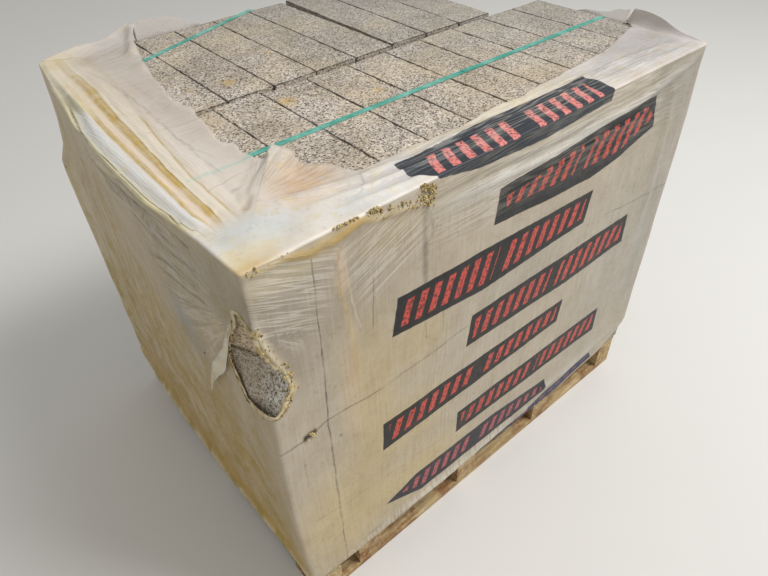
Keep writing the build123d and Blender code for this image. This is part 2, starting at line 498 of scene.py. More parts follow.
@dataclass(frozen=True)
class RoughBlock:
    """One pressed block as a box grid with crumbled arrises and uneven faces.

    Attributes:
        low: Lowest corner in the frame, in millimetres.
        size: Its three sides.
        seed: Seed of the block's own roughness.
        turn: Degrees that the block is turned round its middle.
        arris: Radius of the arrises before they crumble.
        unevenness: How far the faces sway.
    """

    low: tuple[float, float, float]
    size: tuple[float, float, float]
    seed: int
    turn: float = 0.0
    arris: float = 3.4
    unevenness: float = 0.7

    def lines(self, size: float, pitch: float) -> Array:
        """Grid lines across the block, closer together at its two arrises.

        Args:
            size: Length of the side.
            pitch: Spacing away from the arrises.

        Returns:
            Places from the middle of the side.
        """
        edge = self.arris * 1.6
        inner = graded(((edge, pitch),), size - edge)
        return np.concatenate([[0.0, edge / 3], inner, [size - edge / 3, size]]) - size / 2

    def surface(self, pitches: tuple[float, float, float]) -> Surface:
        """Points and quads of the closed block.

        Formula: the points of the six face grids are drawn to a box whose arrises have a radius that
        changes with lattice noise along them, then moved along by a fine and a slow noise.

        Args:
            pitches: Grid spacing along the three axes.

        Returns:
            Points in the frame, quads, and how near each point is to an arris, from 0 to 1.
        """
        lines = [self.lines(size, pitch) for size, pitch in zip(self.size, pitches)]
        half = np.array(self.size) / 2
        sheets, quads, count = [], [], 0
        for axis, side in product(range(3), (-1, 1)):
            a, b = ((axis + side) % 3, (axis - side) % 3)
            first, second = np.meshgrid(lines[a], lines[b], indexing="ij")
            sheet = np.empty((*first.shape, 3))
            sheet[..., a], sheet[..., b], sheet[..., axis] = first, second, side * half[axis]
            sheets.append(sheet.reshape(-1, 3))
            quads.append(grid_faces(len(lines[a]), len(lines[b])) + count)
            count += first.size
        points, index = np.unique(np.round(np.concatenate(sheets), 4), axis=0, return_inverse=True)
        quads = index.reshape(-1)[np.concatenate(quads)]
        offset = points + np.array([self.seed * 37.0, self.seed * 11.0, 0.0])
        crumble = 0.6 + 0.6 * lattice_noise(offset, 13.0, 3) + 0.5 * lattice_noise(offset, 6.0, 4)
        radius = np.clip(self.arris * crumble, 0.8, 2 * self.arris)[:, None]
        to_sides = np.sort(half - np.abs(points), axis=1)[:, 1]
        arris = np.clip(1.25 - to_sides / (self.arris * 1.3), 0, 1) * (0.75 + 0.35 * crumble)
        core = np.clip(points, -(half - radius), half - radius)
        out = points - core
        points = core + unit(out, 1e-6) * np.minimum(np.linalg.norm(out, axis=1, keepdims=True), radius)
        sway = np.stack([lattice_noise(offset, 60.0, 5 + k) for k in range(3)], axis=-1)
        points = points + sway * self.unevenness * (np.abs(points) > 0.9 * half)
        spin = np.array(Matrix.Rotation(radians(self.turn), 3, "Z"))
        return points @ spin.T + self.low + half, quads, arris


def joined(surfaces: list[Surface]) -> Surface:
    """Puts the points, the faces and the point values of several surfaces into one of each.

    Args:
        surfaces: The surfaces in order.

    Returns:
        All points, the faces numbered on, and all point values.
    """
    points, faces, values = zip(*surfaces)
    counts = np.cumsum([0] + [len(part) for part in points])
    faces = [part + count for part, count in zip(faces, counts)]
    return np.concatenate(points), np.concatenate(faces), np.concatenate(values)


@dataclass
class TopCourse:
    """The open top course: eleven blocks in front, nine behind, each set back by its own amount."""

    pack: Pack
    stone: Material
    width: float = 100.0
    joint: float = 0.6
    length: float = 440.0
    front_setbacks: tuple[float, ...] = (1.0, 9.0, 0.0, 1.5, 0.5, 2.0, 5.0, 4.0, 2.0, 0.0)
    back_setbacks: tuple[float, ...] = (4.0, 4.0, 6.0, 5.0, 7.0, 6.0)
    back_shift: float = 38.0
    turned: int = 3
    turned_setback: float = 14.0
    turned_gap: float = 4.0
    turn: float = -1.5
    pitches: tuple[float, float, float] = (9.0, 9.0, 24.0)

    def block(self, u: float, v: float, seed: int, turn: float = 0.0) -> Surface:
        """The surface of a block of the top course.

        Args:
            u: Its lowest corner's place along the front.
            v: The same from the front to the back.
            seed: Seed of its roughness.
            turn: Degrees that it is turned.

        Returns:
            Points, quads and wear.
        """
        low = (self.pack.left + u, self.pack.front + v, self.pack.bed)
        size = (self.width, self.length, self.pack.top - self.pack.bed)
        return RoughBlock(low, size, seed, turn).surface(self.pitches)

    def build(self) -> None:
        """Builds both rows; the corner block is built by itself."""
        step = self.width + self.joint
        front = [self.block(k * step, back, k) for k, back in enumerate(self.front_setbacks, 1)]
        back_v = self.pack.depth - self.length
        back = [self.block(self.back_shift + k * step, back_v + set_back, 20 + k)
                for k, set_back in enumerate(self.back_setbacks)]
        pivot = np.array([self.back_shift + len(back) * step + self.turned_gap, back_v + self.turned_setback])
        half = np.array([self.width, self.length]) / 2
        spin = np.array(Matrix.Rotation(radians(self.turn), 2))
        for k in range(self.turned):
            u, v = pivot + spin @ (half + [k * step, 0]) - half
            back.append(self.block(u, v, 30 + k, self.turn))
        for node, blocks in (("course_4_front", front), ("course_4_back", back)):
            points, faces, arris = joined(blocks)
            make_piece(node + "_blocks", points, faces, [self.stone], "concrete", (node,), arris=arris)


@dataclass
class BrokenCorner:
    """The two blocks at the near vertical edge whose corner is knocked out at their bed joint.

    Attributes:
        reach: Height over the bed joint, and how far the fracture reaches along the front and the side.
    """

    pack: Pack
    stone: Material
    damp: Material
    dry: Material
    size: tuple[float, float, float] = (100.0, 440.0, 215.0)
    pitches: tuple[float, float, float] = (4.0, 5.0, 4.5)
    scoop: float = 7.0
    roughness: float = 2.8
    reach: Table = (
        (-112, 0.5, 0.5), (-104, 2, 96), (-70, 8, 112), (-50, 24, 120), (-28, 46, 124), (0, 42, 119),
        (48, 24, 94), (78, 16, 74), (98, 13, 60), (118, 8, 38), (126, 0.5, 0.5),
    )

    def fractured(self, points: Array) -> tuple[Array, Array]:
        """Moves the points beyond the fracture onto it.

        Formula: at each height the fracture is a chord that cuts the two faces at its reach along the
        front and along the side. A point outside it moves square to the chord onto it, and on into the
        block by a scoop that is deepest in the middle of the chord, with coarse and fine lattice noise.

        Args:
            points: Points of the block in the frame.

        Returns:
            The moved points, and how far each lay beyond the fracture.
        """
        local = points - np.array([self.pack.left, self.pack.front, self.pack.bed])
        heights, front, side = np.array(self.reach, float).T
        along_front = np.interp(local[:, 2], heights, front)
        along_side = np.interp(local[:, 2], heights, side)
        slope = np.stack([1 / along_front, 1 / along_side, np.zeros(len(points))], axis=-1)
        steep = np.linalg.norm(slope, axis=1)
        beyond = (1 - (local * slope).sum(axis=1)) / steep
        share = np.clip(local[:, 1] / along_side, 0, 1)
        rough = lattice_noise(points, 13.0, 31) + 0.7 * lattice_noise(points, 6.0, 32)
        depth = self.scoop * 4 * share * (1 - share) + self.roughness * rough
        shift = np.where(beyond > 0, beyond + np.clip(beyond / 4.0, 0.0, 1.0) * depth, 0.0)
        return points + shift[:, None] * slope / steep[:, None], beyond

    def build(self) -> None:
        """Builds both broken blocks with their broken faces in the fractured finish."""
        levels = (("course_4_corner_block", 0.0, self.damp, 51),
                  ("course_3_corner_block", self.size[2], self.dry, 49))
        for node, below, inside, seed in levels:
            low = (self.pack.left, self.pack.front, self.pack.bed - below)
            points, quads, arris = RoughBlock(low, self.size, seed).surface(self.pitches)
            points, beyond = self.fractured(points)
            piece = make_piece(node + "_broken", points, quads, [self.stone, inside], "broken_concrete",
                               (node,), arris=np.where(beyond > 0, 0, arris))
            inner = (beyond[quads].mean(axis=1) > 1.0).astype(np.int32)
            piece.data.polygons.foreach_set("material_index", inner)


class Tone(Enum):
    """Colours that the film takes, from what lies behind it, stretch marks, dust and yellow staining, and the
    painted shade of its creases' valleys and painted highlight of their ridges.
    """

    FRONT = "#b9ad99"
    SIDE = "#bdac8f"
    SHEET = "#e2d9ce"
    BACK = "#a59a8b"
    MILK = "#e3ded5"
    COOL = "#d3d6d5"
    PINK = "#e6d8d0"
    PEACH = "#d9b897"
    CREAM = "#e0d3b2"
    LEMON = "#d0b878"
    OCHRE = "#c09a48"
    RUST = "#93754a"
    GREY = "#a3a19b"
    SLATE = "#77746e"
    UMBER = "#5d5140"
    DARK = "#37312a"
    LILAC = "#cec9ca"
    KHAKI = "#b39c6a"

    @property
    def linear(self) -> Array:
        """Its linear red, green and blue."""
        return np.array(linear(self.value)[:3])


@dataclass(frozen=True)
class Fold:
    """A crease, pleat or stain line in the film, along a path on one face of the hood.

    Attributes:
        path: Corner points: u and v on the top, the place along the face and drop on the walls.
        width: Distance from the middle at which it has fallen to about a third.
        height: How far it stands out of the film, negative for a valley.
        tone: Colour it takes: a stain, or on a crease painted shade in its valley and painted highlight on
            its ridge.
        tint: Share of that colour at the middle.
        skew: How much wider it is on its positive side than on the other.
        taper: Share of the height and tint at the path's start and end.
        sharp: Whether it is a pointed ridge instead of a round one.
    """

    path: tuple[float, ...]
    width: float
    height: float
    tone: Tone
    tint: float
    skew: float = 1.0
    taper: tuple[float, float] = (0.3, 0.3)
    sharp: bool = False

    def nearest(self, a: Array, b: Array) -> tuple[Array, Array]:
        """Signed distance of points from the path, and their place along it.

        Formula: each point is dropped at right angles onto every run, held within the run's ends, and the
        nearest run counts. The distance is positive on the side of rising b when the path runs along a.

        Args:
            a: First coordinate of the points.
            b: Second coordinate of the points.

        Returns:
            Signed distance, and place along the path from 0 to 1.
        """
        nodes, starts = along_outline(self.path)
        best, place = np.full(a.shape, 1e9), np.zeros(a.shape)
        for first, last, before, after in zip(nodes, nodes[1:], starts, starts[1:]):
            run = after - before
            step = (last - first) / run
            t = np.clip((a - first[0]) * step[0] + (b - first[1]) * step[1], 0, run)
            off_a, off_b = a - first[0] - t * step[0], b - first[1] - t * step[1]
            gap = np.hypot(off_a, off_b)
            nearer = gap < np.abs(best)
            best = np.where(nearer, gap * np.where(step[0] * off_b - step[1] * off_a >= 0, 1.0, -1.0), best)
            place = np.where(nearer, (before + t) / starts[-1], place)
        return best, place

    def strength(self, a: Array, b: Array) -> Array:
        """How marked the fold is, from 0 to 1.

        Formula: a bell curve across the path, full over its middle part and falling to the taper at its
        ends. A sharp fold has straight flanks instead.

        Args:
            a: First coordinate of the points.
            b: Second coordinate of the points.

        Returns:
            One share for each point.
        """
        gap, place = self.nearest(a, b)
        width = np.where(gap > 0, self.width * self.skew, self.width)
        ends = looked_up(place, ((0, self.taper[0]), (0.15, 1), (0.85, 1), (1, self.taper[1])))
        far = np.abs(gap) / (width * np.where((place <= 0) | (place >= 1), 0.6, 1.0))
        return ends * (np.clip(1 - far / 1.6, 0, 1) if self.sharp else np.exp(-(far ** 2)))


@dataclass(frozen=True)
class Blotch:
    """A soft oval of colour on one face of the hood, which can also be clearer than the film round it."""

    middle: tuple[float, float]
    reach: tuple[float, float]
    tone: Tone
    tint: float
    clear: float = 0.0

    def strength(self, a: Array, b: Array) -> Array:
        """Full at the middle and a third at the reach."""
        far = ((a - self.middle[0]) / self.reach[0]) ** 2 + ((b - self.middle[1]) / self.reach[1]) ** 2
        return np.exp(-far ** 1.5)


@dataclass(frozen=True)
class Fan:
    """Pulled wrinkles that run out from a point, or side by side when the point is far away.

    Attributes:
        origin: The point they run from.
        spread: First and last angle in degrees, from the first coordinate towards the second.
        reach: Distances from the origin at which they start and end.
        pitch: Distance between wrinkles half way along, in millimetres.
        strength: How marked they are.
    """

    origin: tuple[float, float]
    spread: tuple[float, float]
    reach: tuple[float, float]
    pitch: float
    strength: float

    def pull(self, a: Array, b: Array) -> Array:
        """The wrinkles' own coordinates and strength.

        Args:
            a: First coordinate of the points.
            b: Second coordinate of the points.

        Returns:
            Place across and along the wrinkles, counted in pitches, and how marked they are.
        """
        x, y = a - self.origin[0], b - self.origin[1]
        radius = np.hypot(x, y)
        angle = (np.degrees(np.arctan2(y, x)) - sum(self.spread) / 2 + 180) % 360 - 180
        half = (self.spread[1] - self.spread[0]) / 2
        near, far = self.reach
        side = np.clip((half - np.abs(angle)) / (0.35 * half), 0, 1)
        ends = np.clip(np.minimum(radius - near, far - radius) / (0.25 * (far - near)), 0, 1)
        across = np.radians(angle) * (near + far) / 2 / self.pitch
        return np.stack([across, radius / self.pitch, self.strength * side * ends], axis=-1)


# Creases, pleats and stain lines of the film on each face, in the order in which they are drawn. The umber,
# slate, grey and dark tints of valleys with a negative height are painted shade in the creases, and the milk
# and cool tints of raised creases are milky film with painted highlight; slate lines with no height are
# joints seen through.
FOLDS = {
    Face.TOP: (
        Fold((104, 300, 92, 230, 84, 165, 74, 110), 4, -2, Tone.RUST, 0.3),
        Fold((20, 788, 13, 707, -8, 591, -13, 500), 6, 4, Tone.CREAM, 0.5),
        Fold((19, 690, 14, 600, -2, 520, -12, 478), 8, -5, Tone.SLATE, 0.7),
        Fold((80, 119, 110, 148, 140, 178, 170, 208, 196, 236), 40, 5, Tone.MILK, 0.4, skew=0.4,
             taper=(0.1, 1.0), sharp=True),
        Fold((84, 124, 112, 152, 142, 182, 172, 212, 190, 232), 2.6, 0, Tone.MILK, 0.8),
        Fold((74, 122, 104, 154, 134, 186, 164, 216), 6, -1, Tone.CREAM, 0.3),
        Fold((72, 112, 86, 124, 98, 138), 6, -3, Tone.RUST, 0.8),
        Fold((101, 240, 101, 440), 3, 0, Tone.SLATE, 0.22),
        Fold((170, 464, 80, 458), 4, 0, Tone.SLATE, 0.25),
        Fold((139, 480, 139, 700), 3, 0, Tone.SLATE, 0.25),
        Fold((88, 172, 98, 168, 108, 166), 3.5, 2, Tone.RUST, 0.8),
        Fold((120, 96, 180, 84, 250, 70, 330, 66), 9, 6, Tone.MILK, 0.55),
        Fold((150, 60, 220, 46, 300, 40, 420, 44), 6, 5, Tone.MILK, 0.7),
        Fold((190, 26, 260, 16, 330, 12), 7, 4, Tone.MILK, 0.7),
        Fold((310, 62, 420, 68, 560, 66, 730, 62, 800, 72), 5, 4, Tone.MILK, 0.3),
        Fold((780, 60, 880, 66, 980, 60, 1080, 40), 6, 4, Tone.COOL, 0.4),
        Fold((820, 30, 920, 26, 1060, 14), 5, 4, Tone.COOL, 0.4),
        Fold((246, 905, 230, 868, 214, 830, 196, 800), 12, 12, Tone.MILK, 0.3, taper=(1.0, 0.1)),
    ),
    Face.LEFT: (
        Fold((551, 61, 430, 36, 315, 10, 180, 8), 5, -5, Tone.UMBER, 0.45),
        Fold((540, 50, 430, 26, 330, 4), 4.5, 6, Tone.CREAM, 0.6),
        Fold((507, 67, 407, 57, 318, 45, 229, 25, 141, 34), 5, -5, Tone.UMBER, 0.4),
        Fold((490, 80, 390, 64, 290, 54, 190, 42), 5, 5, Tone.GREY, 0.4),
        Fold((470, 91, 368, 72, 281, 65, 181, 64), 5, -4, Tone.UMBER, 0.4),
        Fold((377, 91, 304, 93, 248, 98, 143, 80), 6, -4, Tone.UMBER, 0.35),
        Fold((371, 178, 286, 145, 218, 125, 168, 126), 6, -4, Tone.UMBER, 0.3),
        Fold((336, 189, 256, 174, 212, 172, 151, 149), 6, -4, Tone.UMBER, 0.3),
        Fold((691, 103, 685, 193, 703, 332, 711, 488, 721, 672), 11, 7, Tone.LEMON, 0.4),
        Fold((640, 85, 640, 174, 650, 299, 640, 450, 620, 600), 10, -6, Tone.KHAKI, 0.5),
        Fold((595, 85, 595, 174, 595, 299, 574, 428, 528, 556), 10, 7, Tone.LEMON, 0.4),
        Fold((532, 143, 534, 264, 475, 390, 442, 587), 10, 6, Tone.CREAM, 0.3),
        Fold((820, 60, 835, 300, 830, 500, 800, 760), 12, 7, Tone.LEMON, 0.35),
        Fold((902, 20, 895, 300, 890, 600, 880, 850), 16, 0, Tone.CREAM, 0.5),
        Fold((860, 800, 740, 800, 600, 835, 450, 850, 300, 850, 150, 860, 20, 870), 92, 0, Tone.OCHRE, 0.92,
             taper=(0.8, 0.8)),
        Fold((761, 700, 500, 668, 410, 690, 298, 722, 180, 770), 5, 4, Tone.LEMON, 0.5),
        Fold((900, 850, 760, 884, 600, 912, 450, 908, 250, 880, 0, 850), 9, 6, Tone.CREAM, 0.8,
             taper=(1.0, 1.0)),
        Fold((53, 112, 86, 165, 114, 219, 118, 250, 104, 284, 88, 322, 30, 312), 6, 3, Tone.CREAM, 0.8),
    ),
    Face.FRONT: (
        Fold((0, 4, 32, 9, 61, 4, 104, 15, 126, 9, 141, 18, 190, 6, 218, 18, 313, 33), 5, 3.5, Tone.LEMON,
             0.7),
        Fold((218, 22, 250, 30, 300, 38), 5, -3, Tone.RUST, 0.5),
        Fold((134, 72, 149, 140, 159, 226, 160, 324), 3, 2, Tone.LEMON, 0.6),
        Fold((63, 4, 101, 19, 128, 18), 7, 2, Tone.OCHRE, 0.65),
        Fold((124, 24, 150, 14, 198, 2), 9, 2, Tone.OCHRE, 0.6),
        Fold((148, 30, 149, 80, 152, 118), 8, 1, Tone.PEACH, 0.55),
        Fold((330, 36, 470, 40, 606, 54, 700, 48, 778, 30), 6, -3, Tone.UMBER, 0.35),
        Fold((340, 54, 480, 60, 620, 70, 760, 60, 900, 50, 1060, 20), 6, 4, Tone.COOL, 0.35),
        Fold((820, 60, 900, 52, 1000, 40, 1100, 10), 7, 5, Tone.GREY, 0.3),
        Fold((490, 96, 620, 102, 760, 92, 950, 84), 5, 4, Tone.COOL, 0.2),
        Fold((484, 128, 620, 134, 760, 122, 960, 108), 4, -3, Tone.DARK, 0.1),
        Fold((1010, 60, 1020, 200, 1030, 400), 8, 5, Tone.GREY, 0.3),
        Fold((1060, 40, 1062, 200, 1058, 420, 1040, 700), 9, -5, Tone.GREY, 0.35),
        Fold((230, 862, 420, 866, 560, 858, 750, 850, 930, 842), 6, 6, Tone.COOL, 0.45),
        Fold((260, 874, 440, 880, 600, 876, 760, 868, 960, 852), 4, -3, Tone.SLATE, 0.5),
        Fold((700, 812, 820, 826, 940, 806, 1040, 790), 7, 5, Tone.COOL, 0.6),
        Fold((3, 90, 9, 130, 34, 211, 41, 246, 14, 276), 7, 3, Tone.CREAM, 0.9),
    ),
}

# Stained, greyer, clear and pale places of the film on each face
BLOTCHES = {
    Face.TOP: (
        Blotch((150, 620), (50, 330), Tone.PINK, 0.8, clear=0.2),
        Blotch((205, 850), (60, 80), Tone.LILAC, 0.6, clear=0.12),
        Blotch((112, 838), (22, 30), Tone.RUST, 0.4),
        Blotch((30, 880), (70, 60), Tone.CREAM, 0.8),
        Blotch((120, 470), (45, 110), Tone.PEACH, 0.6),
        Blotch((100, 640), (40, 80), Tone.PEACH, 0.4),
        Blotch((120, 250), (40, 70), Tone.PINK, 0.7),
        Blotch((60, 62), (80, 46), Tone.COOL, 0.9),
        Blotch((14, 8), (44, 20), Tone.OCHRE, 0.75),
        Blotch((20, 30), (60, 26), Tone.CREAM, 0.7),
        Blotch((172, 130), (62, 60), Tone.PEACH, 1.0),
        Blotch((120, 190), (34, 26), Tone.CREAM, 0.5),
        Blotch((240, 26), (90, 26), Tone.COOL, 0.9),
        Blotch((330, 50), (120, 40), Tone.LILAC, 0.9),
        Blotch((560, 80), (240, 14), Tone.CREAM, 0.6),
        Blotch((900, 70), (150, 60), Tone.LILAC, 0.8, clear=0.1),
        Blotch((1040, 90), (110, 100), Tone.LILAC, 0.95, clear=0.15),
    ),
    Face.FRONT: (
        Blotch((45, 110), (80, 140), Tone.BACK, 1.0),
        Blotch((60, 30), (70, 24), Tone.CREAM, 0.5),
        Blotch((175, 130), (60, 120), Tone.BACK, 0.6),
        Blotch((190, 420), (60, 230), Tone.LEMON, 0.4),
        Blotch((300, 320), (70, 70), Tone.LEMON, 0.35),
        Blotch((290, 540), (90, 90), Tone.LEMON, 0.45),
        Blotch((100, 700), (110, 180), Tone.LEMON, 0.5),
        Blotch((300, 740), (150, 90), Tone.LEMON, 0.5),
        Blotch((150, 330), (20, 130), Tone.PEACH, 0.35),
        Blotch((260, 56), (90, 30), Tone.KHAKI, 0.35),
        Blotch((620, 60), (300, 26), Tone.COOL, 0.35),
        Blotch((1010, 60), (150, 90), Tone.SLATE, 0.5),
        Blotch((960, 480), (150, 330), Tone.GREY, 0.45),
        Blotch((1080, 400), (60, 400), Tone.GREY, 0.5),
        Blotch((620, 330), (160, 120), Tone.GREY, 0.3),
        Blotch((520, 872), (420, 14), Tone.KHAKI, 0.5),
        Blotch((318, 19), (11, 14), Tone.DARK, 0.8),
    ),
    Face.LEFT: (
        Blotch((40, 60), (90, 70), Tone.SLATE, 0.35),
        Blotch((200, 120), (150, 90), Tone.SLATE, 0.3),
        Blotch((292, 300), (60, 80), Tone.GREY, 0.9),
        Blotch((840, 330), (120, 420), Tone.CREAM, 0.3),
        Blotch((500, 470), (150, 170), Tone.KHAKI, 0.75),
        Blotch((700, 560), (160, 220), Tone.KHAKI, 0.6),
        Blotch((400, 640), (240, 110), Tone.OCHRE, 0.45),
        Blotch((230, 520), (70, 110), Tone.KHAKI, 0.8),
        Blotch((190, 640), (60, 90), Tone.OCHRE, 0.45),
        Blotch((90, 700), (80, 200), Tone.KHAKI, 0.5),
        Blotch((130, 180), (24, 30), Tone.LEMON, 0.4),
    ),
}

# Wrinkles that are pulled across the film on each face
FANS = {
    Face.FRONT: (
        Fan((-1310, -540), (20.8, 27.2), (1426, 1590), 8.0, 0.5),
        Fan((6, 104), (-4, 60), (6, 100), 5.0, 0.35),
        Fan((1621, -511), (154.0, 160.0), (1400, 1610), 8.0, 0.5),
        Fan((-2600, 74), (-1.9, 1.5), (2830, 3720), 7.0, 0.5),
        Fan((600, -3000), (83, 97), (3160, 3860), 9.0, 0.1),
        Fan((500, 3900), (-100, -80), (3010, 3080), 8.0, 0.5),
    ),
    Face.LEFT: (
        Fan((52, 116), (-52, 74), (24, 300), 8.0, 0.5),
        Fan((-700, 96), (-5.2, 1.0), (790, 1360), 8.0, 0.45),
        Fan((640, -2200), (84, 97), (2330, 3080), 12.0, 0.3),
    ),
    Face.TOP: (
        Fan((-2000, 600), (-9, 9), (2090, 2240), 8.0, 0.35),
        Fan((40, -2600), (88.4, 92.2), (2700, 3440), 5.0, 0.35),
        Fan((80, 116), (-34, 62), (20, 190), 5.0, 0.4),
        Fan((-2600, 60), (-0.9, 0.6), (2790, 3760), 5.0, 0.75),
    ),
}


@dataclass(frozen=True)
class PleatedMargin:
    """Pleats that run side by side along the left margin of the hood and close up towards the near corner.

    Attributes:
        lines: v, then u of the rim, the dark valley, both sides of the bright pleat, the ochre pleat and
            the last crease.
        heights: Places across the pleats, counted in lines from the rim, and how high the film stands.
        fade: v, and how marked the pleats are.
        fan_out: Distance over which the film runs out beyond the last crease.
    """

    lines: Table = (
        (110, 2, 6, 12, 22, 34, 60), (150, -8, -9, 4, 15, 38, 62), (250, -18, -15, 0, 18, 38, 63),
        (350, -19, -14, -3, 20, 43, 74), (450, -14, -13, 0, 22, 49, 84), (520, -11, -9, 4, 25, 52, 92),
        (580, -9, 2, 16, 28, 57, 100), (640, 1, 12, 22, 32, 63, 108), (710, 13, 19, 27, 35, 67, 112),
        (790, 20, 25, 31, 38, 67, 114), (870, 32, 36, 40, 46, 68, 116), (930, 43, 46, 49, 54, 72, 118),
    )
    heights: Table = (
        (0, 0), (0.5, 3), (0.9, -2), (1.2, -2), (2, 5), (2.5, 8), (2.9, 3), (3, -1.5), (3.2, 2), (3.7, 1),
        (3.95, 5), (4.15, 3), (4.25, -1.5), (4.5, 2), (4.9, 0), (5, -1.5), (5.2, 1), (6, 0),
    )
    fade: Table = ((95, 0), (140, 1), (600, 1), (720, 0.75), (880, 0.25), (930, 0))
    fan_out: float = 30.0

    def across(self, u: Array, v: Array) -> Array:
        """Place across the pleats, which grows by one from line to line.

        Args:
            u: Place of the points along the front.
            v: The same from the front to the back.

        Returns:
            Place in lines from the rim, in straight shares between them.
        """
        stations, *lines = np.array(self.lines, float).T
        at = [np.interp(v, stations, line) for line in lines]
        at.append(at[-1] + self.fan_out)
        return sum(np.clip((u - a) / np.maximum(b - a, 1.0), 0, 1) for a, b in zip(at, at[1:]))


@dataclass
class FilmHood:
    """Torn, shrunk film hood over the stack, as one closed thin sheet.

    The sheet is a grid. Its first parameter runs round the stack and its second from the hem up the
    wall, over the edge and inwards to the torn edge. A table's first number is the place round the rim,
    which is u on the front and back and v on the two sides, unless it says otherwise.

    Attributes:
        gap: How far the walls stand off the blocks, and at the back.
        edge: Radius of the turn over the top edge.
        sheet_lift: Height of the sheet over the blocks.
        highest: Height over the blocks that no point passes.
        row_places: Share of the wall's rows, and the share of its height they have climbed.
        spacings: Start of each stretch of columns and their spacing, for each face.
        front_tear: Torn point's u and v, like the three after it.
        right_top: Height of the torn edge over the blocks where it runs along a wall, as at the back.
        right_rise: Height of the rim where the film stands up from the edge, as on the next two.
        front_tear_lift: How far the torn edge stands over the sheet, as on the next two.
        left_rim: How far the rim stands out of its straight line, as at the back.
        out_fade: What is left of that by drop, and of the same where it stands in.
        near_bulge: Bulge by drop at the near vertical edge, and at the right one.
        left_flare: How far the left wall flares out at its hem, by drop.
        hem_front: Drop of the hem, as on the next two.
        lip_grid: Points round the hole's lip and across it, before its width and height.
        tongue: Torn tongue on the left wall: along, drop, width and distance off the film.
        hole: Outline of the corner hole in the film's own coordinates.
    """

    pack: Pack
    film: Material
    pleats: PleatedMargin = PleatedMargin()
    gap: float = 1.8
    back_gap: float = 15.8
    thickness: float = 0.5
    corner: float = 5.0
    edge: float = 4.0
    wall_rows: int = 84
    edge_rows: int = 4
    margin_rows: int = 36
    sheet_lift: float = 2.6
    highest: float = 38.0
    row_places: Table = ((0, 0), (0.06, 0.03), (0.37, 0.6), (0.62, 0.8), (1, 1))
    spacings: tuple[Table, ...] = (
        ((0, 4.4), (60, 6.0), (330, 10.0)), ((0, 12.0), (270, 26.0)), ((0, 12.0), (420, 22.0)),
        ((0, 4.4), (150, 8.0)),
    )
    front_tear: Table = (
        (0, 193, 232), (20, 206, 215), (45, 211, 202), (70, 208, 180), (95, 207, 158), (125, 216, 145),
        (160, 234, 131), (185, 240, 119), (205, 243, 104), (232, 256, 88), (250, 268, 84), (290, 295, 86),
        (359, 359, 87), (445, 445, 84), (500, 500, 85), (570, 570, 92), (609, 609, 89), (662, 662, 94),
        (715, 715, 101), (820, 820, 101), (868, 868, 109), (922, 922, 120), (993, 993, 136),
        (1106, 1080, 158),
    )
    right_tear: Table = ((0, 1080, 158), (60, 1086, 166), (120, 1092, 176), (184, 1098, 190))
    back_tear: Table = (
        (0, 222, 832), (90, 231, 850), (150, 239, 870), (190, 247, 886), (215, 252, 897), (250, 256, 908),
    )
    left_tear: Table = (
        (0, 193, 232), (30, 184, 222), (60, 171, 210), (150, 165, 213), (195, 160, 234), (235, 157, 262),
        (262, 161, 284), (285, 158, 300), (305, 150, 312), (325, 151, 330), (365, 157, 371), (400, 164, 404),
        (430, 166, 433), (462, 172, 465), (490, 165, 488), (530, 163, 524), (575, 170, 564), (620, 176, 602),
        (670, 183, 653), (740, 196, 724), (800, 207, 770), (860, 216, 805), (907, 222, 832),
    )
    right_top: Table = ((184, 34), (210, 30), (250, 6), (330, -8), (470, -30), (640, -140), (908, -188))
    back_top: Table = (
        (250, 38), (298, 36), (332, 30), (364, 24), (398, 4), (460, -26), (560, -40), (900, -62),
        (1010, -150), (1106, -188),
    )
    right_rise: Table = ((0, 0), (20, 3), (65, 9), (106, 25), (142, 33), (184, 34))
    back_rise: Table = ((0, 4), (40, 11), (90, 17), (160, 17), (180, 22), (212, 33), (236, 37), (250, 37))
    left_rise: Table = ((800, 0), (907, 4))
    front_tear_lift: Table = ((0, 9), (30, 6), (70, 2), (120, 1), (1106, 1))
    back_tear_lift: Table = ((0, 6), (90, 9), (150, 14), (190, 20), (215, 27), (250, 34))
    left_tear_lift: Table = ((0, 9), (40, 5), (90, 1), (700, 0.5), (770, 1), (830, 3), (907, 6))
    left_rim: Table = (
        (0, 0), (100, 4), (146, 9), (231, 19), (332, 19), (451, 14), (560, 4), (707, -13), (923, -40),
    )
    back_rim: Table = ((0, -40), (262, 0))
    out_fade: Table = ((0, 1), (12, 0.8), (22, 0.72), (40, 0.5), (120, 0.28), (330, 0))
    in_fade: Table = ((0, 1), (60, 0.92), (120, 0.8), (175, 0.55), (212, 0.06), (240, 0))
    near_bulge: Table = ((0, 0), (250, 1), (370, 8), (540, 12), (720, 8), (850, 2))
    right_bulge: Table = ((0, 0), (54, 1), (150, 8), (250, 14), (684, 17), (869, 22))
    left_flare: Table = ((860, 0), (925, 5))
    hem_front: Table = ((0, 866), (190, 880), (520, 880), (844, 884), (1000, 868), (1050, 850), (1106, 800))
    hem_right: Table = ((0, 800), (120, 862), (900, 869))
    hem_left: Table = ((0, 858), (100, 866), (250, 888), (450, 918), (600, 922), (760, 892), (907, 856))
    lip_grid: tuple[int, int] = (220, 6)
    lip_width: float = 4.2
    lip_height: float = 2.0
    tongue_grid: tuple[int, int] = (40, 5)
    tongue: Table = (
        (-60, 122, 4, 1), (-86, 170, 9, 2), (-114, 222, 15, 3), (-142, 270, 27, 4), (-170, 306, 28, 6),
        (-200, 350, 15, 8), (-232, 402, 6, 7), (-256, 446, 1.5, 5),
    )
    hole: tuple[float, ...] = (
        -53, 92, -30, 84, 3, 100, 9, 140, 34, 211, 41, 246, 13, 278, -40, 309, -88, 322, -104, 284, -118, 250,
        -114, 219, -86, 165, -53, 114,
    )

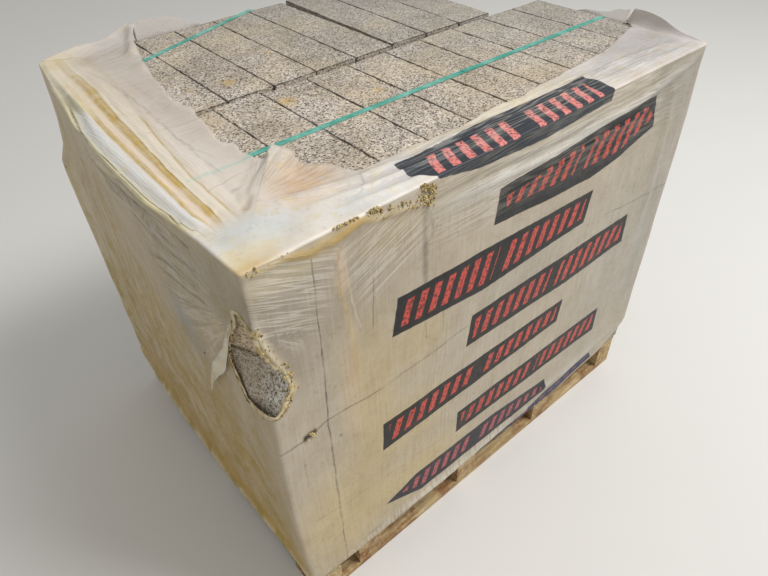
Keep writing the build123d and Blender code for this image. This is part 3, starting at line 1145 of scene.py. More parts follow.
    def __post_init__(self) -> None:
        """Sets out the columns round the stack and the rows from the hem to the torn edge."""
        names = (Face.FRONT, Face.RIGHT, Face.BACK, Face.LEFT)
        sides = (self.pack.width, self.pack.depth) * 2
        runs = [graded(stops, side) for stops, side in zip(self.spacings, sides)]
        runs = [run[::-1][:-1] if name in names[2:] else run[:-1] for name, run in zip(names, runs)]
        self.places = np.concatenate(runs)
        faces = np.concatenate([np.full(len(run), name.value) for name, run in zip(names, runs)])
        self.on = {face: (faces == face.value)[:, None] for face in Face}
        self.count = len(self.places)
        self.rows = self.wall_rows + self.edge_rows + self.margin_rows
        step = np.arange(self.rows)
        self.over = (step > self.wall_rows) & np.ones((self.count, 1), bool)
        self.turn = np.clip((step - self.wall_rows) / self.edge_rows, 0, 1) * pi / 2
        self.inward = np.clip((step - self.wall_rows - self.edge_rows) / (self.margin_rows - 1), 0, 1)
        self.climb = looked_up(step / self.wall_rows, self.row_places)

    def around(self, column: int = 1, **tables: Table) -> Array:
        """Values of tables at the columns round the stack, each one on the face that its name says.

        Args:
            column: Number of the tables' column.
            tables: The tables by face.

        Returns:
            One value for each column of the grid.
        """
        total = np.zeros(self.count)
        for name, table in tables.items():
            rows = np.array(table, float).T
            total += np.interp(self.places, rows[0], rows[column]) * self.on[Face(name)][:, 0]
        return total

    def walls(self) -> tuple[Array, Array]:
        """Where the walls stand.

        Formula: the columns of a rectangle round the stack, with its corners drawn to a small radius.

        Returns:
            u and v of each column, and the direction outwards.
        """
        width, depth = self.pack.width, self.pack.depth
        names = [self.on[face][:, 0] for face in (Face.FRONT, Face.RIGHT, Face.BACK)]
        u = np.select(names, [self.places, width, self.places], 0.0)
        v = np.select(names, [0.0, self.places, depth], self.places)
        high = np.array([width + self.gap, depth + self.back_gap])
        wall = np.stack([u / width, v / depth], axis=-1) * (high + self.gap) - self.gap
        inner = np.clip(wall, self.corner - self.gap, high - self.corner)
        out = unit(wall - inner, 1e-6)
        return inner + out * self.corner, out

    def torn_edge(self) -> tuple[Array, Array, Array]:
        """The torn edge of each column.

        Returns:
            Its u and v, its drop, and whether it is on the wall.
        """
        tears = {"front": self.front_tear, "right": self.right_tear, "back": self.back_tear,
                 "left": self.left_tear}
        torn = np.stack([self.around(column, **tears) for column in (1, 2)], axis=-1)
        tops = {"right": self.right_top, "back": self.back_top}
        past = [self.on[Face(name)][:, 0] & (self.places > top[0][0]) for name, top in tops.items()]
        on_wall = np.any(past, axis=0)
        return torn, np.where(on_wall, -self.around(**tops), -self.sheet_lift), on_wall

    def lay(self) -> tuple[Array, Array, Array]:
        """Lays the grid over the stack, with its rim, rises and bulges but without its folds.

        Formula: a column climbs the wall from its hem, turns over a small arc at the edge and goes in a
        straight line to its torn point. A column that ends on the wall only climbs.

        Returns:
            Place as u and v, drop, and the direction outwards, for each point of the grid.
        """
        wall, out = self.walls()
        torn, torn_drop, on_wall = self.torn_edge()
        hems = {"front": self.hem_front, "right": self.hem_right, "left": self.hem_left,
                "back": ((0, self.pack.top - self.pack.hem),)}
        hem = self.around(**hems)[:, None]
        rise = self.around(right=self.right_rise, back=self.back_rise, left=self.left_rise)[:, None]
        lifts = {"front": self.front_tear_lift, "back": self.back_tear_lift, "left": self.left_tear_lift}
        drop = hem + (self.edge - self.gap - rise - hem) * self.climb - self.edge * np.sin(self.turn)
        place = wall[:, None] - out[:, None] * (self.edge * (1 - np.cos(self.turn)))[:, None]
        place = place + (torn - wall + out * self.edge)[:, None] * self.inward[:, None]
        settle = np.clip(self.inward * looked_up(rise, ((0, 2.2), (8, 1.0))), 0, 1)
        drop = drop + (rise + self.gap - self.sheet_lift) * settle
        drop = drop - self.around(**lifts)[:, None] * self.inward ** 1.3
        wrapped = on_wall[:, None]
        share = np.arange(self.rows) / (self.rows - 1)
        drop = np.where(wrapped, hem + (torn_drop[:, None] - hem) * share, drop)
        place = np.where(wrapped[..., None], wall[:, None], place)
        self.over &= ~wrapped
        tilt = np.where(wrapped, 0.0, self.turn)[..., None]
        normal = np.concatenate([out[:, None] * np.cos(tilt), np.sin(tilt)], axis=-1)
        return self.bulged(place, drop), drop, normal

    def bulged(self, place: Array, drop: Array) -> Array:
        """Adds the bulges of the walls to the laid grid.

        Formula: the pleated left rim hangs out in the middle and draws in over the shifted back row, and
        the loose film at two vertical edges stands out by a bell curve round the edge.

        Args:
            place: u and v of the points.
            drop: Their drop.

        Returns:
            The moved places.
        """
        left, front, right = (self.on[face] for face in (Face.LEFT, Face.FRONT, Face.RIGHT))
        along, wall, below = self.places[:, None], ~self.over, np.maximum(drop, 0)
        rim = self.around(left=self.left_rim, back=self.back_rim)[:, None]
        fade = np.where(rim > 0, looked_up(below, self.out_fade), looked_up(below, self.in_fade))
        keep = np.where(self.over, (1 - self.inward) ** 2, fade)
        near = looked_up(below, self.near_bulge) * np.exp(-((along / 60.0) ** 2)) * (left | front) * wall
        loose = np.clip((along - 860.0) / (self.pack.width - 860.0), 0, 1) ** 2 * front
        loose = (loose + np.exp(-((along / 330.0) ** 2)) * right) * wall * looked_up(below, self.right_bulge)
        flare = looked_up(below, self.left_flare) * np.clip(along / 200.0, 0, 1) * left
        place[..., 0] += loose - near - flare - rim * keep
        place[..., 1] -= 0.5 * near
        return place

    def own_coordinates(self, place: Array, drop: Array) -> Array:
        """The film's own flat coordinates, which its print and its hole follow.

        Formula: the place along the front, negative on the left side and running on round the right,
        and the drop, which goes on over the edge as minus the distance inwards.

        Args:
            place: u and v of the points.
            drop: Their drop.

        Returns:
            Two coordinates for each point.
        """
        width, depth = self.pack.width, self.pack.depth
        rounds = {Face.FRONT: self.places, Face.RIGHT: width + self.places,
                  Face.BACK: 2 * width + depth - self.places, Face.LEFT: -self.places}
        along = sum(self.on[face][:, 0] * value for face, value in rounds.items())[:, None] + 0 * drop
        front, left = self.over & self.on[Face.FRONT], self.over & self.on[Face.LEFT]
        along = np.where(front, place[..., 0], along)
        down = np.where(front, -np.maximum(place[..., 1], 0), drop)
        down = np.where(left, -np.maximum(place[..., 0], 0), down)
        return np.stack([along, down], axis=-1)

    def finish_sheet(self, place: Array, drop: Array) -> tuple[Array, ...]:
        """Adds up folds, blotches and wrinkles at every point of the grid.

        Args:
            place: u and v of the points.
            drop: Their drop.

        Returns:
            Lift, colour, opacity, the wrinkles' own coordinates with their strength, and the place
            across the pleats with how marked they are.
        """
        along = self.places[:, None] + 0 * drop
        colour = np.empty((*drop.shape, 3))
        tones = {Face.FRONT: Tone.FRONT, Face.LEFT: Tone.SIDE, Face.RIGHT: Tone.BACK, Face.BACK: Tone.BACK}
        for face, tone in tones.items():
            colour[self.on[face][:, 0]] = tone.linear
        colour[self.over] = Tone.SHEET.linear
        thin = looked_up(self.inward, ((0, 1.0), (0.45, 0.99), (0.8, 0.96), (1, 0.88)))
        standing = (self.on[Face.RIGHT] | self.on[Face.BACK]) & ~self.over
        bare = np.clip((12 - drop) / 14, 0, 1) * standing
        opacity = np.where(self.over, thin, 1.0) - 0.55 * bare
        colour += (Tone.PINK.linear - colour) * bare[..., None]
        lift, pull = np.zeros(drop.shape), np.zeros(colour.shape)
        for face in (Face.TOP, Face.FRONT, Face.LEFT):
            a, b, on = along, drop, self.on[face] & ~self.over
            if face is Face.TOP:
                a, b, on = place[..., 0], place[..., 1], self.over
            for blotch in BLOTCHES[face]:
                share = blotch.strength(a, b) * on
                colour += (blotch.tone.linear - colour) * blotch.tint * share[..., None]
                opacity = opacity - blotch.clear * share
            # A fold's tint is a stain on some folds, and on creases it is painted shade in the valleys and
            # painted highlight on the ridges
            for fold in FOLDS[face]:
                share = fold.strength(a, b) * on
                lift += fold.height * share
                colour += (fold.tone.linear - colour) * fold.tint * share[..., None]
            for fan in FANS[face]:
                wrinkles = fan.pull(a, b) * np.stack([on | True, on | True, on], axis=-1)
                pull = np.where(wrinkles[..., 2:] > pull[..., 2:], wrinkles, pull)
        across = self.pleats.across(place[..., 0], place[..., 1])
        marked = looked_up(place[..., 1], self.pleats.fade) * (self.over & self.on[Face.LEFT])
        lift += looked_up(across, self.pleats.heights) * marked
        beyond = np.clip((place[..., 1] - 560 + 30 * (across - 2.4)) / 40, 0, 1)
        return lift, colour, opacity, pull, np.stack([across / 6, marked, beyond], axis=-1)

    def ragged(self, place: Array, drop: Array) -> tuple[Array, Array]:
        """Frays the torn edge and curls it: fine lattice noise moves it in its plane, slow noise lifts it.

        Args:
            place: u and v of the points.
            drop: Their drop.

        Returns:
            The moved places and drops.
        """
        on_wall = self.torn_edge()[2][:, None]
        flat = np.concatenate([place, drop[..., None]], axis=-1)
        from_edge = self.rows - 1 - np.arange(self.rows)
        reach = np.clip(1 - from_edge / 6, 0, 1)
        curl = np.clip(1 - from_edge / 11, 0, 1) ** 2
        fray = np.stack([lattice_noise(flat, 9.0, 41), lattice_noise(flat, 9.0, 42)], axis=-1)
        place = place + fray * (reach * np.where(on_wall, 0.0, 3.2))[..., None]
        lifted = curl * (2.5 + 4.0 * lattice_noise(flat, 60.0, 43) + 1.5 * lattice_noise(flat, 16.0, 44))
        wall_fray = 9.0 * lattice_noise(flat, 34.0, 45) + 4.0 * lattice_noise(flat, 12.0, 46)
        return place, drop - np.where(on_wall, wall_fray * curl, np.maximum(lifted, 0))

    def build(self) -> None:
        """Builds the hood, its colours and its thickness."""
        place, drop, normal = self.lay()
        lift, colour, opacity, pull, pleat = self.finish_sheet(place, drop)
        own = self.own_coordinates(place, drop).reshape(-1, 2)
        place, drop = self.ragged(place, drop)
        points = self.pack.place(place[..., 0], place[..., 1], drop)
        slack = lattice_noise(points, 90.0, 47) + 0.5 * lattice_noise(points, 37.0, 48)
        waves = pull[..., 2] * lattice_noise(pull * np.array([1, 1 / 9, 0]), 1.6, 49)
        lift = lift + np.where(self.over, 1.0, 1.3) * np.maximum(slack, -0.6) + 1.6 * np.maximum(waves, -0.3)
        points = points + normal * np.maximum(lift, np.where(self.over, -1.0, -0.7))[..., None]
        room = 0.25 * self.highest
        over = np.maximum(points[..., 2] - self.pack.top - 3 * room, 0)
        points[..., 2] += room * np.tanh(over / room) - over
        quads = grid_faces(self.count, self.rows, closed=True)
        quads, points = self.cut_hole(quads, points.reshape(-1, 3), own)
        cover = 1 - np.sqrt(1 - np.clip(opacity, 0.0, 0.9999))
        layers = {"tint": np.concatenate([np.clip(colour, 0, 1), cover[..., None]], axis=-1).reshape(-1, 4),
                  "spread": np.insert(own, 2, 1.0, axis=1), "pull": pull.reshape(-1, 3),
                  "pleat": pleat.reshape(-1, 3)}
        rags = ((self.lip(), (Tone.CREAM, Tone.KHAKI)), (self.strip(), (Tone.MILK, Tone.CREAM)))
        for (extra, faces), tones in rags:
            share = np.clip(0.5 + 1.2 * lattice_noise(extra, 7.0, 55), 0, 1)[:, None]
            paint = tones[0].linear * share + tones[1].linear * (1 - share)
            none = np.zeros(extra.shape)
            more = {"tint": np.insert(paint, 3, 1.0, axis=1), "spread": none + [-5000.0, 0.0, 1.0],
                    "pull": none, "pleat": none}
            quads = np.concatenate([quads, faces + len(points)])
            points = np.concatenate([points, extra])
            layers = {name: np.concatenate([values, more[name]]) for name, values in layers.items()}
        hood = make_piece("film_hood_torn", points, quads, [self.film], "film", ("film_hood",), **layers)
        solid = hood.modifiers.new("thickness", "SOLIDIFY")
        solid.thickness = self.thickness * MM
        solid.offset = -1

    def on_walls(self, along: Array, drop: Array, off: Array) -> Array:
        """Points over the front wall, or over the left one where along is negative.

        Args:
            along: Place along the wall.
            drop: Drop of the points.
            off: Distance off the film.

        Returns:
            Points in the frame.
        """
        out = self.gap + off + looked_up(drop, self.near_bulge) * np.exp(-((along / 60.0) ** 2))
        front = along >= 0
        return self.pack.place(np.where(front, along, -out), np.where(front, -out, -along), drop)

    def lip(self) -> tuple[Array, Array]:
        """The stretched, crumb-caked lip of film round the hole.

        Formula: a half-round bead, carried round the hole's outline, whose width and height follow
        lattice noise. It is closed on itself.

        Returns:
            Points and quads.
        """
        columns, rows = self.lip_grid
        nodes, runs = along_outline(self.hole, closed=True)
        at = np.linspace(0, runs[-1], columns, endpoint=False)
        line = np.stack([np.interp(at, runs, nodes[:, k]) for k in (0, 1)], axis=-1)
        ahead = unit(np.roll(line, -2, axis=0) - np.roll(line, 2, axis=0))
        aside = np.stack([ahead[:, 1], -ahead[:, 0]], axis=-1)
        flat = np.insert(line, 2, 0.0, axis=1)
        uneven = 0.45 * lattice_noise(flat, 14.0, 51) + 0.3 * lattice_noise(flat, 6.0, 52)
        width = self.lip_width * (1 + uneven)
        height = self.lip_height * (1 + 0.5 * lattice_noise(flat, 10.0, 53))
        round_it = np.linspace(0, pi, rows)
        place = line[:, None] + aside[:, None] * ((np.cos(round_it) - 0.5) * width[:, None])[..., None]
        off = np.sin(round_it) * height[:, None] - 0.4
        points = self.on_walls(place[..., 0], place[..., 1], off)
        return points.reshape(-1, 3), grid_faces(columns, rows, closed=True)

    def strip(self) -> tuple[Array, Array]:
        """The torn tongue of film that hangs from the hole along the left wall.

        Formula: a ribbon along its middle line, as wide as its stations say, whose sides curl away from
        the wall.

        Returns:
            Points and quads.
        """
        columns, rows = self.tongue_grid
        t = np.linspace(0, len(self.tongue) - 1, columns)
        stations = np.arange(len(self.tongue))
        measures = np.array(self.tongue, float).T
        along, drop, width, off = (np.interp(t, stations, measure)[:, None] for measure in measures)
        ahead = unit(np.gradient(np.concatenate([along, drop], axis=1), axis=0))
        across = np.linspace(-0.5, 0.5, rows) * width
        a = along - ahead[:, 1:] * across
        b = drop + ahead[:, :1] * across + 1.2 * np.sin(t * 4.1)[:, None]
        curl = off + (across / np.maximum(width, 1)) ** 2 * 14.0
        return self.on_walls(a, b, curl).reshape(-1, 3), grid_faces(columns, rows)

    def cut_hole(self, quads: Array, points: Array, own: Array) -> tuple[Array, Array]:
        """Takes the quads inside the torn corner hole out and draws its edge points onto its outline.

        Formula: a point is inside if an odd number of the outline's runs lie to its right. Each point that
        only part of its quads keep moves to the nearest point of the outline, in the film's own flat
        coordinates.

        Args:
            quads: All quads.
            points: Points in the frame.
            own: Their own coordinates.

        Returns:
            The quads that are left, and the points.
        """
        nodes, _ = along_outline(self.hole, closed=True)
        a, b = own[quads].mean(axis=1).T
        inside = np.zeros(len(a), bool)
        for (ax, ay), (bx, by) in zip(nodes, nodes[1:]):
            rise = by - ay if by != ay else 1e-9
            inside ^= ((ay > b) != (by > b)) & (a < ax + (b - ay) * (bx - ax) / rise)
        inside &= np.ptp(own[quads][..., 0], axis=1) < 100
        kept = quads[~inside]
        edge = np.intersect1d(quads[inside].ravel(), kept.ravel())
        best, target = np.full(len(edge), 1e9), own[edge].copy()
        for first, last in zip(nodes, nodes[1:]):
            run = last - first
            near = first + np.clip(((own[edge] - first) @ run) / (run @ run), 0, 1)[:, None] * run
            gap = np.linalg.norm(near - own[edge], axis=1)
            target = np.where((gap < best)[:, None], near, target)
            best = np.minimum(best, gap)
        shift = target - own[edge]
        on_front = own[edge, 0] >= 0
        points[edge, 0] += np.where(on_front, shift[:, 0], 0.0)
        points[edge, 1] -= np.where(on_front, 0.0, shift[:, 0])
        points[edge, 2] -= shift[:, 1]
        return kept, points


@dataclass(frozen=True)
class Band:
    """A printed black band with red bars, as a convex outline in the film's own coordinates.

    The bars keep to a second convex outline, or else to an inset all round.
    """

    corners: tuple[float, ...]
    black: str = "#100e0d"
    red: str = "#cb493d"
    inset: float = 15.0
    bars: tuple[float, ...] = ()


@dataclass(frozen=True)
class Seam:
    """A joint that shows through the film or a crisp crease in it, as a thin line in its own coordinates. On
    a crease a dark line is painted shade and a pale one painted highlight.
    """

    path: tuple[float, ...]
    width: float = 1.4
    depth: float = 0.6
    colour: str = "#4a443b"


# The printed bands from the top sheet down the front
BANDS = (
    Band((303, -62, 545, -69, 776, -69, 789, -36, 776, 20, 600, 28, 420, 20, 340, 4, 302, -22), "#2b3138",
        "#e0837c", bars=(346, -50, 756, -50, 748, 2, 560, 3, 340, -4)),
    Band((482, 82, 884, 60, 946, 62, 964, 136, 858, 164, 760, 176, 602, 166, 476, 155), "#15171a", "#c4493c",
        bars=(500, 104, 700, 86, 925, 78, 955, 110, 850, 148, 700, 143, 506, 130)),
    Band((251, 189, 782, 213, 770, 289, 460, 297, 237, 270)),
    Band((439, 350, 960, 357, 965, 440, 749, 445, 427, 430)),
    Band((208, 488, 756, 500, 748, 568, 204, 571), red="#cf4a3c"),
    Band((416, 633, 940, 646, 941, 727, 415, 707)),
    Band((204, 780, 292, 752, 552, 758, 752, 785, 764, 838, 312, 833), "#22212b", "#b95a5e", 16.0),
    Band((500, 872, 956, 832, 972, 862, 726, 893, 520, 886), "#1f2548", "#8a5468", 14.0),
)

# Joints of the blocks that show through, and creases too crisp for the mesh, whose dark lines are painted
# shade and pale lines painted highlight; one wide blurred line is a painted shadow
SEAMS = (
    Seam((103, 30, 100, 126)),
    Seam((100, 126, 97, 207), depth=0.75),
    Seam((97, 207, 93, 370), 1.6, 0.85),
    Seam((93, 370, 90, 599), 1.6, 0.7),
    Seam((90, 599, 88, 866), 1.6, 0.6),
    Seam((204, 120, 200, 219), 1.2, 0.5),
    # Painted shadow: the blurred shade that falls below the small torn hole under the top band
    Seam((310, 30, 311, 194), 6.0, 0.45),
    Seam((312, 196, 316, 330), 1.4, 0.3),
    Seam((360, 255, 359, 335), 1.2, 0.4),
    Seam((955, 190, 952, 298), 1.2, 0.35),
    Seam((0, 372, 58, 378, 93, 368), 2.4, 0.7),
    Seam((93, 368, 207, 381), 2.0, 0.6),
    Seam((207, 381, 430, 372), 2.4, 0.4),
    Seam((852, 307, 961, 324, 1106, 341), 2.1, 0.42),
    Seam((39, 634, 90, 650), 2.0, 0.4),
    Seam((88, 655, 380, 690), 1.8, 0.2),
    Seam((45, 372, 68, 376), 6.5, 1.0),
    Seam((112, 430, 114, 431), 3.0, 0.95),
    Seam((40, 440, 41, 441), 2.4, 0.6),
    # Crease lines on the left wall: the dark ones are painted shade in the creases, the pale ones painted
    # highlight on their ridges
    Seam((-545, 60, -430, 34, -320, 8), 3.0, 0.6),
    Seam((-540, 50, -430, 24, -330, 2), 2.6, 0.7, "#d8cda6"),
    Seam((-507, 67, -318, 45, -229, 25, -141, 34), 2.6, 0.55),
    Seam((-470, 91, -368, 72, -281, 65, -181, 64), 2.2, 0.5),
    Seam((-377, 91, -248, 98, -143, 80), 2.0, 0.4),
    Seam((-371, 178, -286, 145, -168, 126), 2.2, 0.35),
    Seam((-336, 189, -256, 174, -151, 149), 2.2, 0.4),
    Seam((-351, 246, -278, 221, -203, 192, -123, 146), 2.2, 0.3),
    Seam((-691, 103, -703, 332, -721, 672), 2.6, 0.5, "#cfc49d"),
    Seam((-595, 85, -595, 299, -528, 556), 2.6, 0.45, "#cfc49d"),
    Seam((-560, 100, -560, 300, -500, 500), 2.2, 0.35),
    Seam((-735, 60, -745, 400, -750, 700), 2.8, 0.35),
    Seam((-532, 143, -534, 264, -442, 587), 2.4, 0.4, "#c6bb9c"),
    Seam((-500, 674, -410, 692, -298, 722), 3.0, 0.7, "#d8c78c"),
    Seam((156, 60, 163, 140, 176, 205), 1.6, 0.5, "#d2c6a8"),
    Seam((-202, -170, -215, -110, -228, -50), 5.0, 0.6, "#93c9bb"),
    Seam((-160, -178, -176, -60), 1.6, 0.3),
    Seam((-418, -175, -425, -70), 2.0, 0.35, "#a3988a"),
    Seam((-330, -101, -200, -101), 1.6, 0.3, "#a3988a"),
)


# Colours across the pleated margin from its rim inwards, where its bright pleat lies and beyond it. The dark
# olive and grey-green stops by the rim are painted shade in the valley there, the white of the bright pleat
# is milky film with painted highlight, and the ochre stops are stains.
NEAR_PLEATS = (
    (0.0, "#c9bd93"), (0.09, "#d5caa2"), (0.13, "#5f5738"), (0.165, "#7c7453"), (0.19, "#cfc8ac"),
    (0.24, "#cfcdc4"), (0.30, "#d2cfc8"), (0.39, "#dcdbd8"), (0.455, "#cdc8bf"), (0.475, "#bfae84"),
    (0.495, "#b5964e"), (0.525, "#cbb077"), (0.55, "#e6d2ba"), (0.60, "#e3cdb2"), (0.635, "#c2a35a"),
    (0.665, "#c9a756"), (0.688, "#8d783f"), (0.71, "#e2d6c0"), (0.81, "#e2d6c6"), (0.83, "#c0aa74"),
    (0.85, "#e2d6c6"), (0.97, "#e2d8cd"),
)
FAR_PLEATS = (
    (0.0, "#d2c7a4"), (0.08, "#b3ab8a"), (0.16, "#8f8b70"), (0.30, "#a09b80"), (0.42, "#cfc6a8"),
    (0.50, "#d6c18c"), (0.55, "#e2d2b8"), (0.60, "#dfcba8"), (0.635, "#bb9d57"), (0.67, "#c9ab63"),
    (0.69, "#a48d55"), (0.71, "#e2d6c0"), (0.97, "#e2d8cd"),
)


@dataclass(frozen=True)
class PrintedFilm:
    """Milky polyethylene film, blown and shrunk: satin, with pulled wrinkles whose crests carry painted
    highlight and whose valleys painted shade, the blocks' joints showing through, and a print of black bands
    with plain slanted red bars."""

    name: str = "shrunk polyethylene film"
    bar_pitch: float = 33.0
    bar_slant: float = 0.32
    wobble_mm: float = 1.6
    sway_mm: float = 8.0

    def line_rows(self, first: Array, last: Array) -> tuple[tuple, tuple, float]:
        """Where points lie by a line, as rows whose dot products with the film's coordinates give it.

        Args:
            first: Start of the line.
            last: Its end.

        Returns:
            Rows for the distance from the line and for the place along it, and its length.
        """
        run = float(np.hypot(*(last - first)))
        x, y = (last - first) / run
        return (-y, x, first @ (y, -x)), (x, y, -first @ (x, y)), run

    def band_depth(self, add: Callable, spread: Socket, corners: tuple[float, ...]) -> Socket:
        """How deep a point lies inside a convex outline: the least of its distances from the edges.

        Args:
            add: Adds a node to the tree.
            spread: The film's own coordinates with a one.
            corners: The outline.

        Returns:
            The depth in millimetres.
        """
        nodes, _ = along_outline(corners, closed=True)
        rows = [self.line_rows(first, last)[0] for first, last in zip(nodes, nodes[1:])]
        depths = [add("VectorMath DOT_PRODUCT", spread, row) for row in rows]
        return reduce(partial(add, "Math MINIMUM"), depths)

    def seamed(self, add: Callable, colour: Socket, swayed: Socket, faint: Socket) -> Socket:
        """Draws the seams over a colour.

        Args:
            add: Adds a node to the tree.
            colour: The film's colour so far.
            swayed: The film's own coordinates, a little bent.
            faint: How clearly the seams show from place to place.

        Returns:
            The colour with the seams.
        """
        for seam in SEAMS:
            nodes, _ = along_outline(seam.path)
            for first, last in zip(nodes, nodes[1:]):
                across, forth, run = self.line_rows(first, last)
                away = add("Math ABSOLUTE", add("VectorMath DOT_PRODUCT", swayed, across))
                near = add("MapRange", away, 0.4 * seam.width, 1.5 * seam.width, seam.depth, 0.0)
                forth = add("VectorMath DOT_PRODUCT", swayed, forth)
                ends = [add("MapRange", forth, *reach) for reach in ((-3.0, 1.0), (run + 3, run - 1))]
                share = add("Math MULTIPLY", near, add("Math MULTIPLY", add("Math MULTIPLY", *ends), faint))
                colour = add("Mix", share, colour, seam.colour, **RGBA)
        return colour

    def printed(self, add: Callable, colour: Socket, spread: Socket, worn: Socket, scuffs: Socket) -> Socket:
        """Prints the bands over a colour.

        Args:
            add: Adds a node to the tree.
            colour: The film's colour so far.
            spread: The film's own coordinates, a little shaken.
            worn: How much of the red ink is left from place to place.
            scuffs: Share of the ink that is gone on the wrinkles.

        Returns:
            The colour with the bands.
        """
        slant = add("VectorMath DOT_PRODUCT", spread, (1.0, self.bar_slant, 0.0))
        wave = add("Math FRACT", add("Math DIVIDE", slant, self.bar_pitch))
        bars = add("MapRange", add("Math ABSOLUTE", add("Math SUBTRACT", wave, 0.5)), 0.22, 0.28, 1.0, 0.0)
        bars = add("Math MULTIPLY", bars, worn)
        for band in BANDS:
            depth = self.band_depth(add, spread, band.corners)
            inside = add("Math SUBTRACT", add("MapRange", depth, -0.8, 0.8), scuffs, use_clamp=True)
            corners = np.array(band.corners, float).reshape(-1, 2)
            middle = float((corners.min(axis=0) + corners.max(axis=0)) @ (1.0, self.bar_slant) / 2)
            apart = add("VectorMath DOT_PRODUCT", spread, (1.0, self.bar_slant, -middle))
            gap = add("MapRange", add("Math ABSOLUTE", apart), 15.0, 16.0)
            inset = 0.0 if band.bars else band.inset
            inner = self.band_depth(add, spread, band.bars) if band.bars else depth
            inner = add("Math MULTIPLY", add("MapRange", inner, inset - 1.0, inset + 1.0), bars)
            ink = add("Mix", add("Math MULTIPLY", inner, gap), band.black, band.red, **RGBA)
            colour = add("Mix", inside, colour, ink, **RGBA)
        return colour

    def make(self) -> Material:
        """Builds the film's material on the hood's own attributes.

        Returns:
            The material.
        """
        material, add, place = new_material(self.name)
        tint = add("Attribute", attribute_name="tint")
        names = ("spread", "pull", "pleat")
        flat, pull, pleat = (add("Attribute", attribute_name=name, out="Vector") for name in names)
        along, down, _ = add("SeparateXYZ", flat).node.outputs
        strength = add("SeparateXYZ", pull, out="Z")
        creases = add("TexNoise", add("Mapping", pull, Scale=(0.8, 0.05, 0.0)), 1.0)
        fold = add("MapRange", add("Math ABSOLUTE", add("Math SUBTRACT", creases, 0.52)), 0.0, 0.09, 1.0, 0.0)
        pulled = add("Math MULTIPLY", fold, strength)
        cloud = add("TexNoise", place, PER_MM / 60, 4.0, 0.62)
        dirt = add("TexNoise", place, PER_MM / 9, 4.0, 0.7)
        colour = tint
        grime = ((cloud, (0.35, 0.7, 0.0, 0.35), "#c9bda6"), (dirt, (0.55, 0.75, 0.0, 0.3), "#a09072"))
        for source, reach, tone in grime:
            share = add("MapRange", source, *reach)
            colour = add("Mix", share, colour, tone, blend_type="MULTIPLY", **RGBA)
        # Painted highlight on the wrinkles' crests and painted shade in their valleys
        colour = add("Mix", add("Math MULTIPLY", pulled, 0.6), colour, "#ece6dc", **RGBA)
        valley = add("Math MULTIPLY", add("MapRange", creases, 0.30, 0.46, 1.0, 0.0), strength)
        colour = add("Mix", add("Math MULTIPLY", valley, 0.32), colour, "#6f6353", **RGBA)
        # Streaks down the walls, yellow and pale patches low on the left one, and mottle on the top
        streak = add("TexNoise", add("Mapping", flat, Scale=(0.22, 0.007, 0.0)), 1.0, 4.0, 0.65)
        patches = add("TexNoise", place, PER_MM / 52, 5.0, 0.7)
        mottle = add("TexNoise", place, PER_MM / 21, 5.0, 0.72)
        on_wall = add("MapRange", down, 20.0, 90.0)
        low_down = add("MapRange", down, 260.0, 560.0, 0.3, 1.0)
        on_left = add("Math MULTIPLY", add("MapRange", along, -10.0, -90.0), low_down)
        on_top = add("MapRange", down, 0.0, -12.0)
        for source, reach, where, tone in (
            (streak, (0.52, 0.70, 0.0, 0.26), on_wall, "#8c7b5c"),
            (streak, (0.34, 0.46, 0.2, 0.0), on_wall, "#cfc6b6"),
            (patches, (0.46, 0.60, 0.0, 0.85), on_left, "#a18a3e"),
            (patches, (0.44, 0.34, 0.0, 0.5), on_left, "#b0a994"),
            (mottle, (0.54, 0.68, 0.0, 0.45), on_top, "#d6c084"),
            (mottle, (0.46, 0.34, 0.0, 0.45), on_top, "#c9cdca"),
        ):
            share = add("Math MULTIPLY", add("MapRange", source, *reach), where)
            colour = add("Mix", share, colour, tone, **RGBA)
        # Colours across the pleats, with the painted shade of the valley by the rim and the painted highlight
        # of the bright pleat
        across, marked, beyond = add("SeparateXYZ", pleat).node.outputs
        wander = add("Math SUBTRACT", add("TexNoise", place, PER_MM / 45, 3.0, 0.6), 0.5)
        across = add("Math ADD", across, add("Math MULTIPLY", wander, 0.035))
        banded = [add("ValToRGB", across, stops=tones) for tones in (NEAR_PLEATS, FAR_PLEATS)]
        blotchy = add("MapRange", add("TexNoise", place, PER_MM / 26, 4.0, 0.65), 0.3, 0.65, 0.55, 1.0)
        marked = add("Math MULTIPLY", marked, blotchy)
        colour = add("Mix", marked, colour, add("Mix", beyond, *banded, **RGBA), **RGBA)
        moved = []
        for scale, detail, reach in ((60.0, 2.0, 2 * self.wobble_mm), (14.0, 3.0, 2 * self.sway_mm)):
            noise = add("TexNoise", place, scale, detail, out="Color")
            shake = add("VectorMath SUBTRACT", noise, (0.5, 0.5, 0.5))
            shake = add("VectorMath MULTIPLY", shake, (reach, reach, 0.0))
            moved.append(add("VectorMath ADD", flat, shake))
        faint = add("MapRange", add("TexNoise", place, PER_MM / 30, 3.0, 0.6), 0.35, 0.6, 0.35, 1.0)
        colour = self.seamed(add, colour, moved[1], faint)
        worn = add("MapRange", add("TexNoise", place, PER_MM / 6, 4.0, 0.7), 0.40, 0.52, 0.15, 1.0)
        colour = self.printed(add, colour, moved[0], worn, add("Math MULTIPLY", pulled, 0.35))
        relief = add("Math ADD", add("Math MULTIPLY", pulled, 1.0), add("Math MULTIPLY", cloud, 0.25))
        fine = add("Math MULTIPLY", add("TexNoise", place, PER_MM / 7, 3.0, 0.6), 0.16)
        bump = add("Bump", Strength=0.55, Distance=0.0022, Height=add("Math ADD", relief, fine))
        rough = add("MapRange", dirt, 0.3, 0.7, 0.36, 0.55)
        alpha = tint.node.outputs["Alpha"]
        alpha = add("Math ADD", alpha, add("Math MULTIPLY", pulled, 0.12), use_clamp=True)
        shader = add("BsdfPrincipled", colour, Roughness=rough, Specular_IOR_Level=0.4, Alpha=alpha,
                     Normal=bump)
        add("OutputMaterial", shader)
        return material


